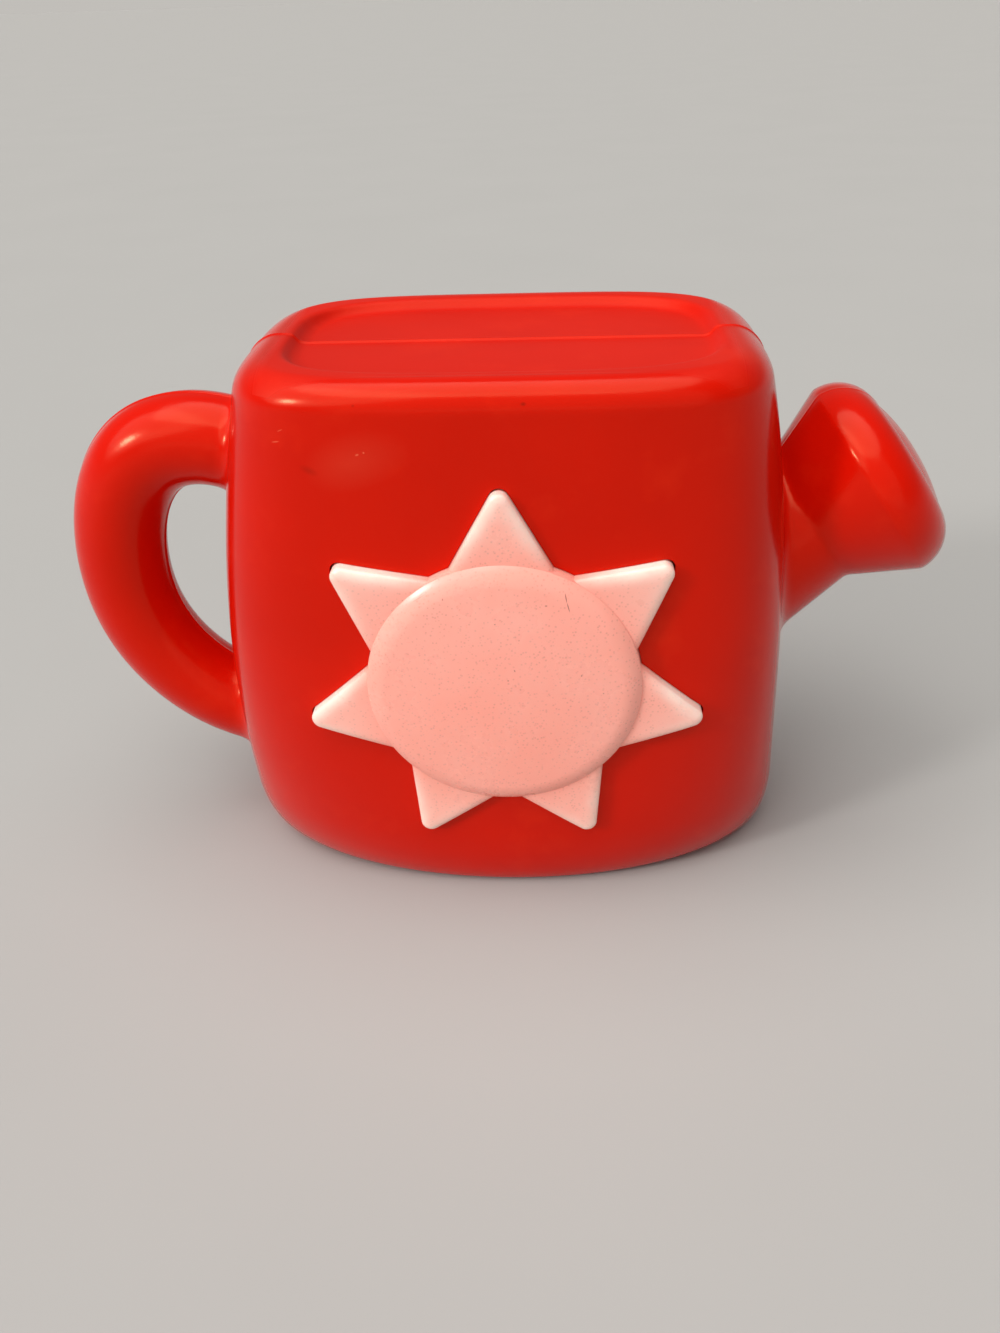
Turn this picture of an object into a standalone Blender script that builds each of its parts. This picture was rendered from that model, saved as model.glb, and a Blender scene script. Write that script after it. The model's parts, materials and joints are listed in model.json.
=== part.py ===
"""Toy watering can that plays music when its sun is pressed, as the pieces it comes apart into.

The can stands on its base at the origin. The spout points to +X, the handle to -X and the sun to -Y.
The two half shells meet at the plane Y = 0.
"""

import math

import bmesh
import bpy
import numpy as np
from mathutils import Matrix, Vector

MM = 0.001

# Fits
SEAT_GAP = 0.3 * MM
STAR_GAP = 0.5 * MM
BORE_GAP = 0.3 * MM
DOOR_GAP = 0.4 * MM
PLUNGER_GAP = 1.2 * MM

# Can body
CAN_HEIGHT = 112.6 * MM
HALF_DEPTH = 34.5 * MM
BASE_HALF_WIDTH = 61.5 * MM
LOWER_HALF_WIDTH = 58.0 * MM
UPPER_HALF_WIDTH = 55.2 * MM
TOP_HALF_WIDTH = 48.8 * MM
HANDLE_SIDE_SWELL = 2.2 * MM
BASE_SQUARENESS = 2.0
MIDDLE_SQUARENESS = 3.8
TOP_SQUARENESS = 3.7
BASE_FILLET_WIDTH = 5.0 * MM
BASE_FILLET_HEIGHT = 16.0 * MM
TOP_FILLET = 5.5 * MM
RIM_WIDTH = 9.0 * MM
RECESS_DEPTH = 1.65 * MM
RECESS_DRAFT = 1.2 * MM
WALL = 2.5 * MM
RING_POINTS = 48

# Handle
HANDLE_RADIUS = 9.8 * MM
HANDLE_WALL = 2.2 * MM
HANDLE_KNOTS = [
    (-45.5 * MM, 86.0 * MM),
    (-63.1 * MM, 91.9 * MM),
    (-71.6 * MM, 90.1 * MM),
    (-84.0 * MM, 63.5 * MM),
    (-79.9 * MM, 45.1 * MM),
    (-66.5 * MM, 30.7 * MM),
    (-50.6 * MM, 24.9 * MM),
]
HANDLE_STEPS = 28

# Spout and rose, turned about one axis
ROSE_X = 80.6 * MM
ROSE_HEIGHT = 86.1 * MM
ROSE_RISE = math.radians(34.9)
ROSE_RADIUS = 21.5 * MM
ROSE_ROUND = 9.0 * MM
ROSE_DOME = 1.7 * MM
BELL_LENGTH = 22.1 * MM
NECK_RADIUS = 15.1 * MM
SPOUT_LENGTH = 22.0 * MM
SPOUT_RADIUS = 18.5 * MM
SPOUT_WALL = 2.2 * MM
ROSE_STEPS = 32

# Sun button
SUN_HEIGHT = 54.3 * MM
RAYS = 7
RAY_TIP_RADIUS = 39.4 * MM
RAY_TIP_ROUND = 2.0 * MM
RAY_HALF_ANGLE = math.radians(29.3)
DISC_RADIUS = 26.3 * MM
DISC_STEP = 0.4 * MM
DISC_SHOULDER = 2.4 * MM
DISC_CROWN = 0.9 * MM
STAR_PROUD = 2.2 * MM
DISC_PROUD = 2.6 * MM
SUN_WALL = 1.7 * MM
FLANGE_LAP = 2.8 * MM
FLANGE_THICK = 1.8 * MM
PRESS_TRAVEL = 2.2 * MM
PLUNGER_RADIUS = 3.0 * MM

# Button springs
SPRINGS = 3
SPRING_CIRCLE = 17.0 * MM
SPRING_RADIUS = 3.0 * MM
SPRING_WIRE = 0.35 * MM
SPRING_TURNS = 5
SPRING_SEAT = 3.2 * MM
SEAT_RADIUS = 4.4 * MM
SPIGOT_RADIUS = 1.9 * MM
SPIGOT_LENGTH = 2.6 * MM

# Bracket, dome and board
BRACKET_RADIUS = 41.0 * MM
BRACKET_THICK = 2.0 * MM
BRACKET_CLEAR = 1.5 * MM
BRACKET_SCREW_CIRCLE = 36.0 * MM
BRACKET_SCREW_GAPS = (0, 2, 4, 6)
STANDOFF = 4.6 * MM
STANDOFF_RADIUS = 3.2 * MM
BOARD_WIDTH = 46.0 * MM
BOARD_HEIGHT = 36.0 * MM
BOARD_THICK = 1.6 * MM
BOARD_SCREW_SPACING = 38.0 * MM
DOME_HEIGHT = 4.2 * MM
DOME_RADIUS = 7.0 * MM
DOME_TOP_RADIUS = 3.6 * MM
CHIP_RADIUS = 5.0 * MM
CHIP_HEIGHT = 1.8 * MM
CHIP_X = 11.0 * MM
CAPACITOR_RADIUS = 2.5 * MM
CAPACITOR_LENGTH = 7.0 * MM

# Screws and bosses
SCREW_RADIUS = 1.5 * MM
SCREW_HEAD_RADIUS = 2.8 * MM
SCREW_HEAD_HEIGHT = 1.7 * MM
BOSS_WALL = 1.9 * MM
POST_WALL = 1.0 * MM
COUNTERBORE_GAP = 0.6 * MM
CASE_SEAT = 8.0 * MM
CASE_SCREW_LENGTH = 20.0 * MM
GRIP_SEAT = 4.5 * MM
GRIP_SCREW_LENGTH = 10.5 * MM
SHORT_SCREW_LENGTH = 6.5 * MM
CLAMP_SCREW_LENGTH = 4.4 * MM
BOARD_SCREW_LENGTH = 5.2 * MM
CASE_UPPER_X = 39.0 * MM
CASE_UPPER_HEIGHT = 97.0 * MM
CASE_LOWER_X = 46.0 * MM
CASE_LOWER_HEIGHT = 19.0 * MM

# Speaker
SPEAKER_HEIGHT = 84.0 * MM
SPEAKER_RADIUS = 20.0 * MM
SPEAKER_FLANGE = 1.2 * MM
SPEAKER_DEPTH = 10.0 * MM
CONE_RADIUS = 16.4 * MM
CONE_DEPTH = 5.5 * MM
CONE_THICK = 0.6 * MM
COIL_RADIUS = 6.0 * MM
BASKET_RADIUS = 10.0 * MM
MAGNET_RADIUS = 11.0 * MM
MAGNET_THICK = 5.0 * MM
COLLAR_WALL = 1.4 * MM
COLLAR_STEPS = 24
CLAMP_THICK = 1.6 * MM
CLAMP_SCREW_X = 26.5 * MM
CLAMP_EAR = 8.0 * MM
GRILLE_HOLE_RADIUS = 1.5 * MM
GRILLE_PITCH = 5.2 * MM
GRILLE_RINGS = 2

# Batteries, their box and door
CELL_RADIUS = 7.25 * MM
CELL_LENGTH = 49.3 * MM
CELL_NUB_RADIUS = 2.75 * MM
CELL_NUB = 1.2 * MM
CELL_LOWER_HEIGHT = 27.4 * MM
CELL_PITCH = 15.5 * MM
CELL_DEPTH = 21.9 * MM
CELL_GAP = 0.35 * MM
BOX_WALL = 1.5 * MM
BOX_EAR = 9.0 * MM
BOX_EAR_THICK = 1.6 * MM
BOX_EAR_DEPTH = 20.0 * MM
CONTACT_THICK = 0.5 * MM
CONTACT_WIDTH = 9.0 * MM
CONTACT_TAIL = 3.0 * MM
CELL_SPRING_LENGTH = 5.2 * MM
CELL_SPRING_WIRE = 0.35 * MM
CELL_SPRING_TURNS = 3
CELL_SPRING_BASE = 4.0 * MM
CELL_SPRING_TOP = 2.2 * MM
DOOR_BOTTOM = 10.5 * MM
DOOR_THICK = 2.0 * MM
DOOR_SCREW_HEIGHT = 14.6 * MM
DOOR_SCREW_LENGTH = 4.9 * MM
DOOR_SCREW_GAP = 0.6 * MM
DOOR_SEAT = 2.0 * MM
DOOR_BOSS = 1.6 * MM
DOOR_LUG_DEPTH = 6.0 * MM
DOOR_LUG_WIDTH = 10.4 * MM
TAB_X = 16.0 * MM
TAB_WIDTH = 8.0 * MM
TAB_REACH = 3.2 * MM
TAB_THICK = 1.7 * MM
TAB_ROOM = 1.0 * MM

# Leads
LEAD_RADIUS = 0.6 * MM
LEAD_STEPS = 10

BORE_RADIUS = SCREW_RADIUS + BORE_GAP
BOSS_RADIUS = BORE_RADIUS + BOSS_WALL
COUNTERBORE_RADIUS = SCREW_HEAD_RADIUS + COUNTERBORE_GAP
POST_RADIUS = COUNTERBORE_RADIUS + POST_WALL

WIDTH_CURVE = np.polyfit(
    np.array([0, 1 / 3, 2 / 3, 1]) * CAN_HEIGHT,
    [BASE_HALF_WIDTH, LOWER_HALF_WIDTH, UPPER_HALF_WIDTH, TOP_HALF_WIDTH],
    3,
)
SQUARENESS_CURVE = np.polyfit(
    np.array([0, 0.5, 1]) * CAN_HEIGHT,
    [BASE_SQUARENESS, MIDDLE_SQUARENESS, TOP_SQUARENESS],
    2,
)


# Scene

def clear_scene():
    for old in list(bpy.data.objects):
        bpy.data.objects.remove(old, do_unlink=True)


def new_collection(name):
    made = bpy.data.collections.new(name)
    bpy.context.scene.collection.children.link(made)
    return made


clear_scene()
PARTS = new_collection("musical_watering_can")
CUTTERS = new_collection("cutters")


def finish_of(name, colour, roughness, metallic=0.0):
    made = bpy.data.materials.new(name)
    made.use_nodes = True
    shader = made.node_tree.nodes["Principled BSDF"]
    shader.inputs["Base Color"].default_value = (*colour, 1.0)
    shader.inputs["Roughness"].default_value = roughness
    shader.inputs["Metallic"].default_value = metallic
    return made


RED = finish_of("red_plastic", (0.60, 0.012, 0.004), 0.35)
PINK = finish_of("pink_plastic", (0.95, 0.38, 0.31), 0.45)
GREY = finish_of("grey_plastic", (0.32, 0.33, 0.34), 0.5)
BLACK = finish_of("black_plastic", (0.03, 0.03, 0.03), 0.5)
STEEL = finish_of("steel", (0.62, 0.62, 0.62), 0.3, 1.0)
BOARD = finish_of("circuit_laminate", (0.05, 0.22, 0.08), 0.4)
EPOXY = finish_of("epoxy", (0.02, 0.02, 0.02), 0.25)
RUBBER = finish_of("rubber", (0.55, 0.55, 0.53), 0.7)
PAPER = finish_of("cone_paper", (0.06, 0.06, 0.06), 0.9)
CELL = finish_of("cell_jacket", (0.45, 0.36, 0.10), 0.35, 0.4)
LEAD_RED = finish_of("red_lead", (0.6, 0.03, 0.02), 0.5)
LEAD_BLACK = finish_of("black_lead", (0.03, 0.03, 0.03), 0.5)


def add_object(name, mesh, collection, finish=None):
    made = bpy.data.objects.new(name, mesh)
    collection.objects.link(made)
    if finish is not None:
        mesh.materials.append(finish)
    return made


def part(name, mesh, finish):
    """A piece of the toy."""
    mesh.shade_smooth()
    mesh.set_sharp_from_angle(angle=math.radians(35))
    return add_object(name, mesh, PARTS, finish)


def tool(name, mesh):
    """A solid that shapes a piece and isn't one itself."""
    made = add_object(name, mesh, CUTTERS)
    made.hide_render = True
    made.display_type = "WIRE"
    return made


def shape(target, operation, other):
    modifier = target.modifiers.new(other.name, "BOOLEAN")
    modifier.operation = operation
    modifier.object = other
    return target


def join(target, *others):
    for other in others:
        shape(target, "UNION", other)


def cut(target, *others):
    for other in others:
        shape(target, "DIFFERENCE", other)


def keep(target, *others):
    for other in others:
        shape(target, "INTERSECT", other)


def mesh_of(maker, name):
    """The evaluated mesh of a curve or of an object with modifiers, welded; the maker is removed."""
    bpy.context.view_layer.update()
    graph = bpy.context.evaluated_depsgraph_get()
    mesh = bpy.data.meshes.new_from_object(maker.evaluated_get(graph))
    mesh.name = name
    work = bmesh.new()
    work.from_mesh(mesh)
    work.transform(maker.matrix_world)
    bmesh.ops.remove_doubles(work, verts=work.verts, dist=0.001 * MM)
    work.to_mesh(mesh)
    work.free()
    mesh.materials.clear()
    bpy.data.objects.remove(maker, do_unlink=True)
    return mesh


# Solids

ALONG_Y = Matrix.Rotation(math.radians(-90), 4, "X")
AGAINST_Y = Matrix.Rotation(math.radians(90), 4, "X")
ALONG_X = Matrix.Rotation(math.radians(90), 4, "Y")


def loft(name, rings):
    """Solid through rings of equally many points, flat at both ends."""
    work = bmesh.new()
    rows = [[work.verts.new(point) for point in ring] for ring in rings]
    for lower, upper in zip(rows, rows[1:]):
        for i in range(len(lower)):
            j = (i + 1) % len(lower)
            work.faces.new((lower[i], lower[j], upper[j], upper[i]))
    work.faces.new(list(reversed(rows[0])))
    work.faces.new(rows[-1])
    mesh = bpy.data.meshes.new(name)
    work.to_mesh(mesh)
    work.free()
    return mesh


def blocks(name, *spans):
    """Boxes in one mesh, each given by its lowest and highest corner."""
    work = bmesh.new()
    for low, high in spans:
        low, high = Vector(low), Vector(high)
        size = Matrix.Diagonal((*(high - low), 1))
        bmesh.ops.create_cube(work, size=1, matrix=Matrix.Translation((low + high) / 2) @ size)
    mesh = bpy.data.meshes.new(name)
    work.to_mesh(mesh)
    work.free()
    return mesh


def rods(name, *rows, segments=16):
    """Round rods along Y in one mesh, each given as x, z, radius, first y, last y."""
    work = bmesh.new()
    half_step = Matrix.Rotation(math.pi / segments, 4, "Z")
    for x, z, radius, first, last in rows:
        place = Matrix.Translation((x, (first + last) / 2, z)) @ ALONG_Y @ half_step
        bmesh.ops.create_cone(
            work,
            cap_ends=True,
            segments=segments,
            radius1=radius,
            radius2=radius,
            depth=last - first,
            matrix=place,
        )
    mesh = bpy.data.meshes.new(name)
    work.to_mesh(mesh)
    work.free()
    return mesh


def turned(name, profile, place, steps=24, ring=False):
    """Profile of (radius, height) points, outer side top to bottom, turned about Z and then placed."""
    mesh = bpy.data.meshes.new(name)
    edges = [(i, i + 1) for i in range(len(profile) - 1)]
    if ring:
        edges.append((len(profile) - 1, 0))
    mesh.from_pydata([(radius, 0, height) for radius, height in profile], edges, [])
    maker = add_object(name, mesh, CUTTERS)
    screw = maker.modifiers.new("turn", "SCREW")
    screw.steps = steps
    screw.render_steps = steps
    screw.use_merge_vertices = True
    screw.merge_threshold = 0.01 * MM
    maker.matrix_world = place
    return mesh_of(maker, name)


def tube(name, points, radius, resolution=2):
    curve = bpy.data.curves.new(name, "CURVE")
    curve.dimensions = "3D"
    curve.bevel_depth = radius
    curve.bevel_resolution = resolution
    curve.use_fill_caps = True
    line = curve.splines.new("POLY")
    line.points.add(len(points) - 1)
    for spot, point in zip(line.points, points):
        spot.co = (*point, 1)
    maker = bpy.data.objects.new(name, curve)
    CUTTERS.objects.link(maker)
    return mesh_of(maker, name)


def prism(name, outline, first, last):
    """Outline of (x, height) points carried along Y from first to last."""
    curve = bpy.data.curves.new(name, "CURVE")
    curve.dimensions = "2D"
    curve.fill_mode = "BOTH"
    curve.extrude = (last - first) / 2
    line = curve.splines.new("POLY")
    line.points.add(len(outline) - 1)
    line.use_cyclic_u = True
    for spot, point in zip(line.points, outline):
        spot.co = (*point, 0, 1)
    maker = bpy.data.objects.new(name, curve)
    CUTTERS.objects.link(maker)
    maker.matrix_world = Matrix.Translation((0, (first + last) / 2, 0)) @ AGAINST_Y
    return mesh_of(maker, name)


def arc(centre, radius, start, end, count):
    """Points on a circle between two angles, ends included."""
    angles = np.linspace(start, end, count)
    return [(centre[0] + radius * math.cos(a), centre[1] + radius * math.sin(a)) for a in angles]


def smooth_path(knots, count):
    """Points of the natural cubic spline through the knots, evenly spread by chord length."""
    knots = np.array(knots, float)
    stops = np.concatenate(([0], np.cumsum(np.linalg.norm(np.diff(knots, axis=0), axis=1))))
    step = np.diff(stops)
    size = len(knots)
    system = np.eye(size)
    right = np.zeros_like(knots)
    for i in range(1, size - 1):
        system[i, i - 1 : i + 2] = step[i - 1], 2 * (step[i - 1] + step[i]), step[i]
        slope = np.diff(knots[i - 1 : i + 2], axis=0) / step[i - 1 : i + 1, None]
        right[i] = 6 * (slope[1] - slope[0])
    bend = np.linalg.solve(system, right)
    spots = np.linspace(0, stops[-1], count)
    span = np.clip(np.searchsorted(stops, spots, side="right") - 1, 0, size - 2)
    width = step[span][:, None]
    ahead = (stops[span + 1] - spots)[:, None] / width
    back = 1 - ahead
    curl = (ahead**3 - ahead) * bend[span] + (back**3 - back) * bend[span + 1]
    return ahead * knots[span] + back * knots[span + 1] + curl * width**2 / 6


def move_origin(piece, point):
    """Puts a piece's origin at a point and leaves its shape where it is."""
    piece.data.transform(Matrix.Translation(-Vector(point)))
    piece.location = point


# Can body

def half_width(height, side=1):
    """Half width on the spout's side, or on the handle's side, which is fuller at mid height."""
    swell = math.sin(math.pi * min(max(height / CAN_HEIGHT, 0), 1) ** 0.8) ** 2
    return np.polyval(WIDTH_CURVE, height) + (HANDLE_SIDE_SWELL * swell if side < 0 else 0)


def squareness(height):
    return np.polyval(SQUARENESS_CURVE, height)


def plan_ring(height, inset):
    """One level section of the body: an oval at the base that grows squarer upwards."""
    angles = np.linspace(0, 2 * math.pi, RING_POINTS, endpoint=False)
    power = 2 / squareness(height)
    across = np.sign(np.cos(angles)) * np.abs(np.cos(angles)) ** power
    along = np.sign(np.sin(angles)) * np.abs(np.sin(angles)) ** power
    x = (np.where(across < 0, half_width(height, -1), half_width(height)) - inset) * across
    y = (HALF_DEPTH - inset) * along
    return np.column_stack((x, y, np.full(RING_POINTS, height)))


def wall_depth(x, height, inset):
    """Distance of the body's front or back face from the middle plane, at a place on the face."""
    power = squareness(height)
    share = min(abs(x) / (half_width(height, x) - inset), 0.999)
    return (HALF_DEPTH - inset) * (1 - share**power) ** (1 / power)


def outwards(x, distance):
    """A place across, moved away from the middle."""
    return x + math.copysign(distance, x)


def body_rings(inset, ceiling, fillet_steps, levels):
    """Level rings of the body's form, drawn in all round by an inset, up to a ceiling."""
    turn = np.linspace(0, math.pi / 2, fillet_steps)
    base = max(inset, 0)
    rise = BASE_FILLET_HEIGHT - base
    top_round = max(TOP_FILLET - inset, WALL / 2)
    rings = []
    for a in turn:
        height = base + rise * (1 - math.cos(a))
        rings.append(plan_ring(height, inset + BASE_FILLET_WIDTH * (1 - math.sin(a))))
    for height in np.linspace(BASE_FILLET_HEIGHT, ceiling - top_round, levels)[1:-1]:
        rings.append(plan_ring(height, inset))
    for a in turn[::-1]:
        height = ceiling - top_round * (1 - math.cos(a))
        rings.append(plan_ring(height, inset + top_round * (1 - math.sin(a))))
    return rings


def outer_body(name):
    rings = body_rings(0, CAN_HEIGHT, 5, 8)
    rings.append(plan_ring(CAN_HEIGHT, RIM_WIDTH))
    rings.append(plan_ring(CAN_HEIGHT - RECESS_DEPTH, RIM_WIDTH + RECESS_DRAFT))
    return loft(name, rings)


def inner_body(name, inset):
    return loft(name, body_rings(inset, CAN_HEIGHT - RECESS_DEPTH - inset, 3, 6))


def proud_body(name, proud):
    """The body's form swelled outwards, for faces that follow the front wall."""
    return loft(name, body_rings(-proud, CAN_HEIGHT + proud, 3, 10))


# Handle, spout and rose

HANDLE_ROUTE = smooth_path(HANDLE_KNOTS, HANDLE_STEPS)


def handle_tube(name, radius):
    return tube(name, [(x, 0, z) for x, z in HANDLE_ROUTE], radius, resolution=4)


def handle_bore(name, radius):
    """The handle's hollow, which ends where the handle meets the body."""
    free = [(x, 0, z) for x, z in HANDLE_ROUTE if abs(x) > half_width(z, x) + HANDLE_WALL]
    return tube(name, free, radius, resolution=4)


def rose_profile(inset):
    """Outer side of the rose and spout from the middle of the domed face down, drawn in by an inset."""
    flat = ROSE_RADIUS - ROSE_ROUND
    dome = [(flat * k, ROSE_DOME * (1 - k**2) - inset) for k in np.linspace(0, 1, 4)[:-1]]
    rim = arc((flat, -ROSE_ROUND), ROSE_ROUND - inset, math.pi / 2, 0, 7)
    neck = [
        (NECK_RADIUS - inset, -BELL_LENGTH),
        (SPOUT_RADIUS - inset, -BELL_LENGTH - SPOUT_LENGTH),
        (0, -BELL_LENGTH - SPOUT_LENGTH),
    ]
    return dome + rim + neck


ROSE_PLACE = Matrix.Translation((ROSE_X, 0, ROSE_HEIGHT)) @ Matrix.Rotation(math.pi / 2 - ROSE_RISE, 4, "Y")


def case_screw_spots():
    """x, z, seat, screw length and how far a boss reaches from the middle plane into the wall."""
    boss = max(BOSS_RADIUS, POST_RADIUS)
    rows = []
    for x, z in (
        (-CASE_UPPER_X, CASE_UPPER_HEIGHT),
        (CASE_UPPER_X, CASE_UPPER_HEIGHT),
        (-CASE_LOWER_X, CASE_LOWER_HEIGHT),
        (CASE_LOWER_X, CASE_LOWER_HEIGHT),
    ):
        rows.append((x, z, CASE_SEAT, CASE_SCREW_LENGTH, wall_depth(outwards(x, boss), z, WALL / 2)))
    grip_reach = math.sqrt(HANDLE_RADIUS**2 - boss**2) - SEAT_GAP
    neck_reach = math.sqrt(NECK_RADIUS**2 - boss**2) - SEAT_GAP
    grip = HANDLE_ROUTE[HANDLE_STEPS // 2]
    neck = ROSE_PLACE @ Vector((0, 0, -BELL_LENGTH))
    rows.append((grip[0], grip[1], GRIP_SEAT, GRIP_SCREW_LENGTH, grip_reach))
    rows.append((neck.x, neck.z, CASE_SEAT, CASE_SCREW_LENGTH, neck_reach))
    return rows


# Sun outline

def star_outline(offset):
    """Seven rays round the disc, grown all round by an offset, as (x, height) points."""
    edge = (RAY_TIP_RADIUS - RAY_TIP_ROUND) * math.sin(RAY_HALF_ANGLE) + RAY_TIP_ROUND + offset
    tip_round = max(RAY_TIP_ROUND + offset, 0.2 * MM)
    tip_centre = (edge - tip_round) / math.sin(RAY_HALF_ANGLE)
    circle = DISC_RADIUS + offset
    corner = math.asin(edge / circle) - RAY_HALF_ANGLE
    sweep = math.pi / 2 - RAY_HALF_ANGLE
    step = 2 * math.pi / RAYS
    outline = []
    for k in range(RAYS):
        axis = math.pi / 2 + k * step
        tip = (tip_centre * math.cos(axis), tip_centre * math.sin(axis))
        outline += arc((0, 0), circle, axis - corner, axis - corner, 1)
        outline += arc(tip, tip_round, axis - sweep, axis + sweep, 5)
        outline += arc((0, 0), circle, axis + corner, axis + step / 2, 2)
    return [(x, SUN_HEIGHT + height) for x, height in outline]


def between_rays(gap, radius):
    """Place on a circle round the sun's middle, between two rays."""
    angle = math.pi / 2 + (gap + 0.5) * 2 * math.pi / RAYS
    return radius * math.cos(angle), SUN_HEIGHT + radius * math.sin(angle)


def round_sun(index, count, radius):
    angle = math.pi / 2 + index * 2 * math.pi / count
    return radius * math.cos(angle), SUN_HEIGHT + radius * math.sin(angle)


# Depths of the sun's works, front to back

FLANGE_OUTLINE = star_outline(FLANGE_LAP)
FLANGE_FRONT = SEAT_GAP - min(wall_depth(x, z, WALL) for x, z in FLANGE_OUTLINE)
FLANGE_BACK = FLANGE_FRONT + FLANGE_THICK
BRACKET_FRONT = FLANGE_BACK + PRESS_TRAVEL + BRACKET_CLEAR
BRACKET_BACK = BRACKET_FRONT + BRACKET_THICK
BOARD_FRONT = BRACKET_BACK + STANDOFF + SEAT_GAP
BOARD_BACK = BOARD_FRONT + BOARD_THICK
DOME_BACK = BOARD_FRONT - SEAT_GAP
DOME_FRONT = DOME_BACK - DOME_HEIGHT
PLUNGER_END = DOME_FRONT - SEAT_GAP
STAR_FRONT = -HALF_DEPTH - STAR_PROUD
DISC_FRONT = STAR_FRONT - DISC_PROUD
SPRING_FRONT = STAR_FRONT + SPRING_SEAT
FLANGE_MIDDLE = (FLANGE_FRONT + FLANGE_BACK) / 2
SPRING_SPOTS = [round_sun(i, SPRINGS, SPRING_CIRCLE) for i in range(SPRINGS)]
BRACKET_SCREWS = [between_rays(gap, BRACKET_SCREW_CIRCLE) for gap in BRACKET_SCREW_GAPS]
BOARD_SCREWS = [(side * BOARD_SCREW_SPACING / 2, SUN_HEIGHT) for side in (-1, 1)]

# Depths and places of what the back shell holds

SPEAKER_FACE = wall_depth(SPEAKER_RADIUS, SPEAKER_HEIGHT, WALL) - SEAT_GAP
FLANGE_REAR = SPEAKER_FACE - SPEAKER_FLANGE
BASKET_TOP = CONE_RADIUS + SEAT_GAP + SPEAKER_FLANGE
CLAMP_BACK = FLANGE_REAR - SEAT_GAP
CLAMP_FRONT = CLAMP_BACK - CLAMP_THICK
CELL_UPPER_HEIGHT = CELL_LOWER_HEIGHT + CELL_PITCH
BAY_HALF = (CELL_LENGTH + CELL_NUB + CELL_SPRING_LENGTH) / 2 + CONTACT_THICK + 2 * SEAT_GAP
BAY_FLOOR = CELL_DEPTH - CELL_RADIUS - CELL_GAP
BAY_LOW = CELL_LOWER_HEIGHT - CELL_RADIUS - CELL_GAP
BAY_HIGH = CELL_UPPER_HEIGHT + CELL_RADIUS + CELL_GAP
BOX_HALF = BAY_HALF + BOX_WALL
BOX_RIM = wall_depth(BOX_HALF, BAY_LOW - BOX_WALL, WALL) - SEAT_GAP
BOX_SCREW_X = BOX_HALF + BOX_EAR / 2
BOX_SCREW_HEIGHT = (BAY_LOW + BAY_HIGH) / 2
DOOR_TOP = BAY_HIGH
DOOR_HALF = BAY_HALF
DOOR_AXIS_Y = wall_depth(0, DOOR_TOP, 0)
DOOR_SEAT_Y = wall_depth(0, DOOR_SCREW_HEIGHT, 0) - DOOR_SEAT
DOOR_BOSS_END = DOOR_SEAT_Y - DOOR_BOSS
LUG_FACE = DOOR_BOSS_END - SEAT_GAP
TAB_BACK = wall_depth(TAB_X + TAB_WIDTH / 2, DOOR_TOP, WALL) - SEAT_GAP


# Shells

def shell_half(name, side):
    """Half of the hollow body with its handle and spout, on one side of the middle plane."""
    made = part(name, outer_body(name), RED)
    join(made, SHAPERS["handle"], SHAPERS["spout"])
    far = 2 * CAN_HEIGHT
    near = SEAT_GAP / 2
    low, high = (-far, near) if side > 0 else (-near, far)
    cut(made, tool(name + "_other", blocks(name + "_other", ((-far, low, -far), (far, high, far)))))
    cut(made, SHAPERS["cavity"], SHAPERS["handle_hollow"], SHAPERS["spout_hollow"])
    return made


SHAPERS = {
    "handle": tool("handle_form", handle_tube("handle_form", HANDLE_RADIUS)),
    "spout": tool("spout_form", turned("spout_form", rose_profile(0), ROSE_PLACE, ROSE_STEPS)),
    "cavity": tool("body_cavity", inner_body("body_cavity", WALL)),
    "handle_hollow": tool("handle_hollow", handle_bore("handle_hollow", HANDLE_RADIUS - HANDLE_WALL)),
    "spout_hollow": tool(
        "spout_hollow", turned("spout_hollow", rose_profile(SPOUT_WALL), ROSE_PLACE, ROSE_STEPS)
    ),
    "body": tool("body_form", outer_body("body_form")),
}
cut(SHAPERS["spout_hollow"], SHAPERS["body"])


def build_front_shell():
    made = shell_half("front_shell", -1)
    seam = -SEAT_GAP / 2
    bosses = [(x, z, BOSS_RADIUS, -reach, seam) for x, z, seat, length, reach in case_screw_spots()]
    bores = [
        (x, z, BORE_RADIUS, seat - length - SEAT_GAP, SEAT_GAP)
        for x, z, seat, length, reach in case_screw_spots()
    ]
    bracket_face = BRACKET_FRONT - SEAT_GAP
    for x, z in BRACKET_SCREWS:
        bosses.append((x, z, BOSS_RADIUS, -wall_depth(outwards(x, BOSS_RADIUS), z, WALL / 2), bracket_face))
        deep = BRACKET_BACK - SHORT_SCREW_LENGTH - SEAT_GAP
        bores.append((x, z, BORE_RADIUS, deep, BRACKET_FRONT))
    join(made, tool("front_bosses", rods("front_bosses", *bosses, segments=14)))
    cut(made, tool("front_bores", rods("front_bores", *bores, segments=10)))
    opening = prism("sun_opening", star_outline(STAR_GAP), -2 * HALF_DEPTH, FLANGE_FRONT)
    cut(made, tool("sun_opening", opening))
    return made


def grille_holes():
    """Holes on rings round the speaker's middle, six more on each ring."""
    far = 2 * HALF_DEPTH
    rows = [(0, SPEAKER_HEIGHT, GRILLE_HOLE_RADIUS, SPEAKER_FACE, far)]
    for ring in range(1, GRILLE_RINGS + 1):
        for k in range(6 * ring):
            angle = 2 * math.pi * k / (6 * ring)
            x = ring * GRILLE_PITCH * math.cos(angle)
            z = SPEAKER_HEIGHT + ring * GRILLE_PITCH * math.sin(angle)
            rows.append((x, z, GRILLE_HOLE_RADIUS, SPEAKER_FACE, far))
    return rods("grille_holes", *rows, segments=8)


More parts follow.
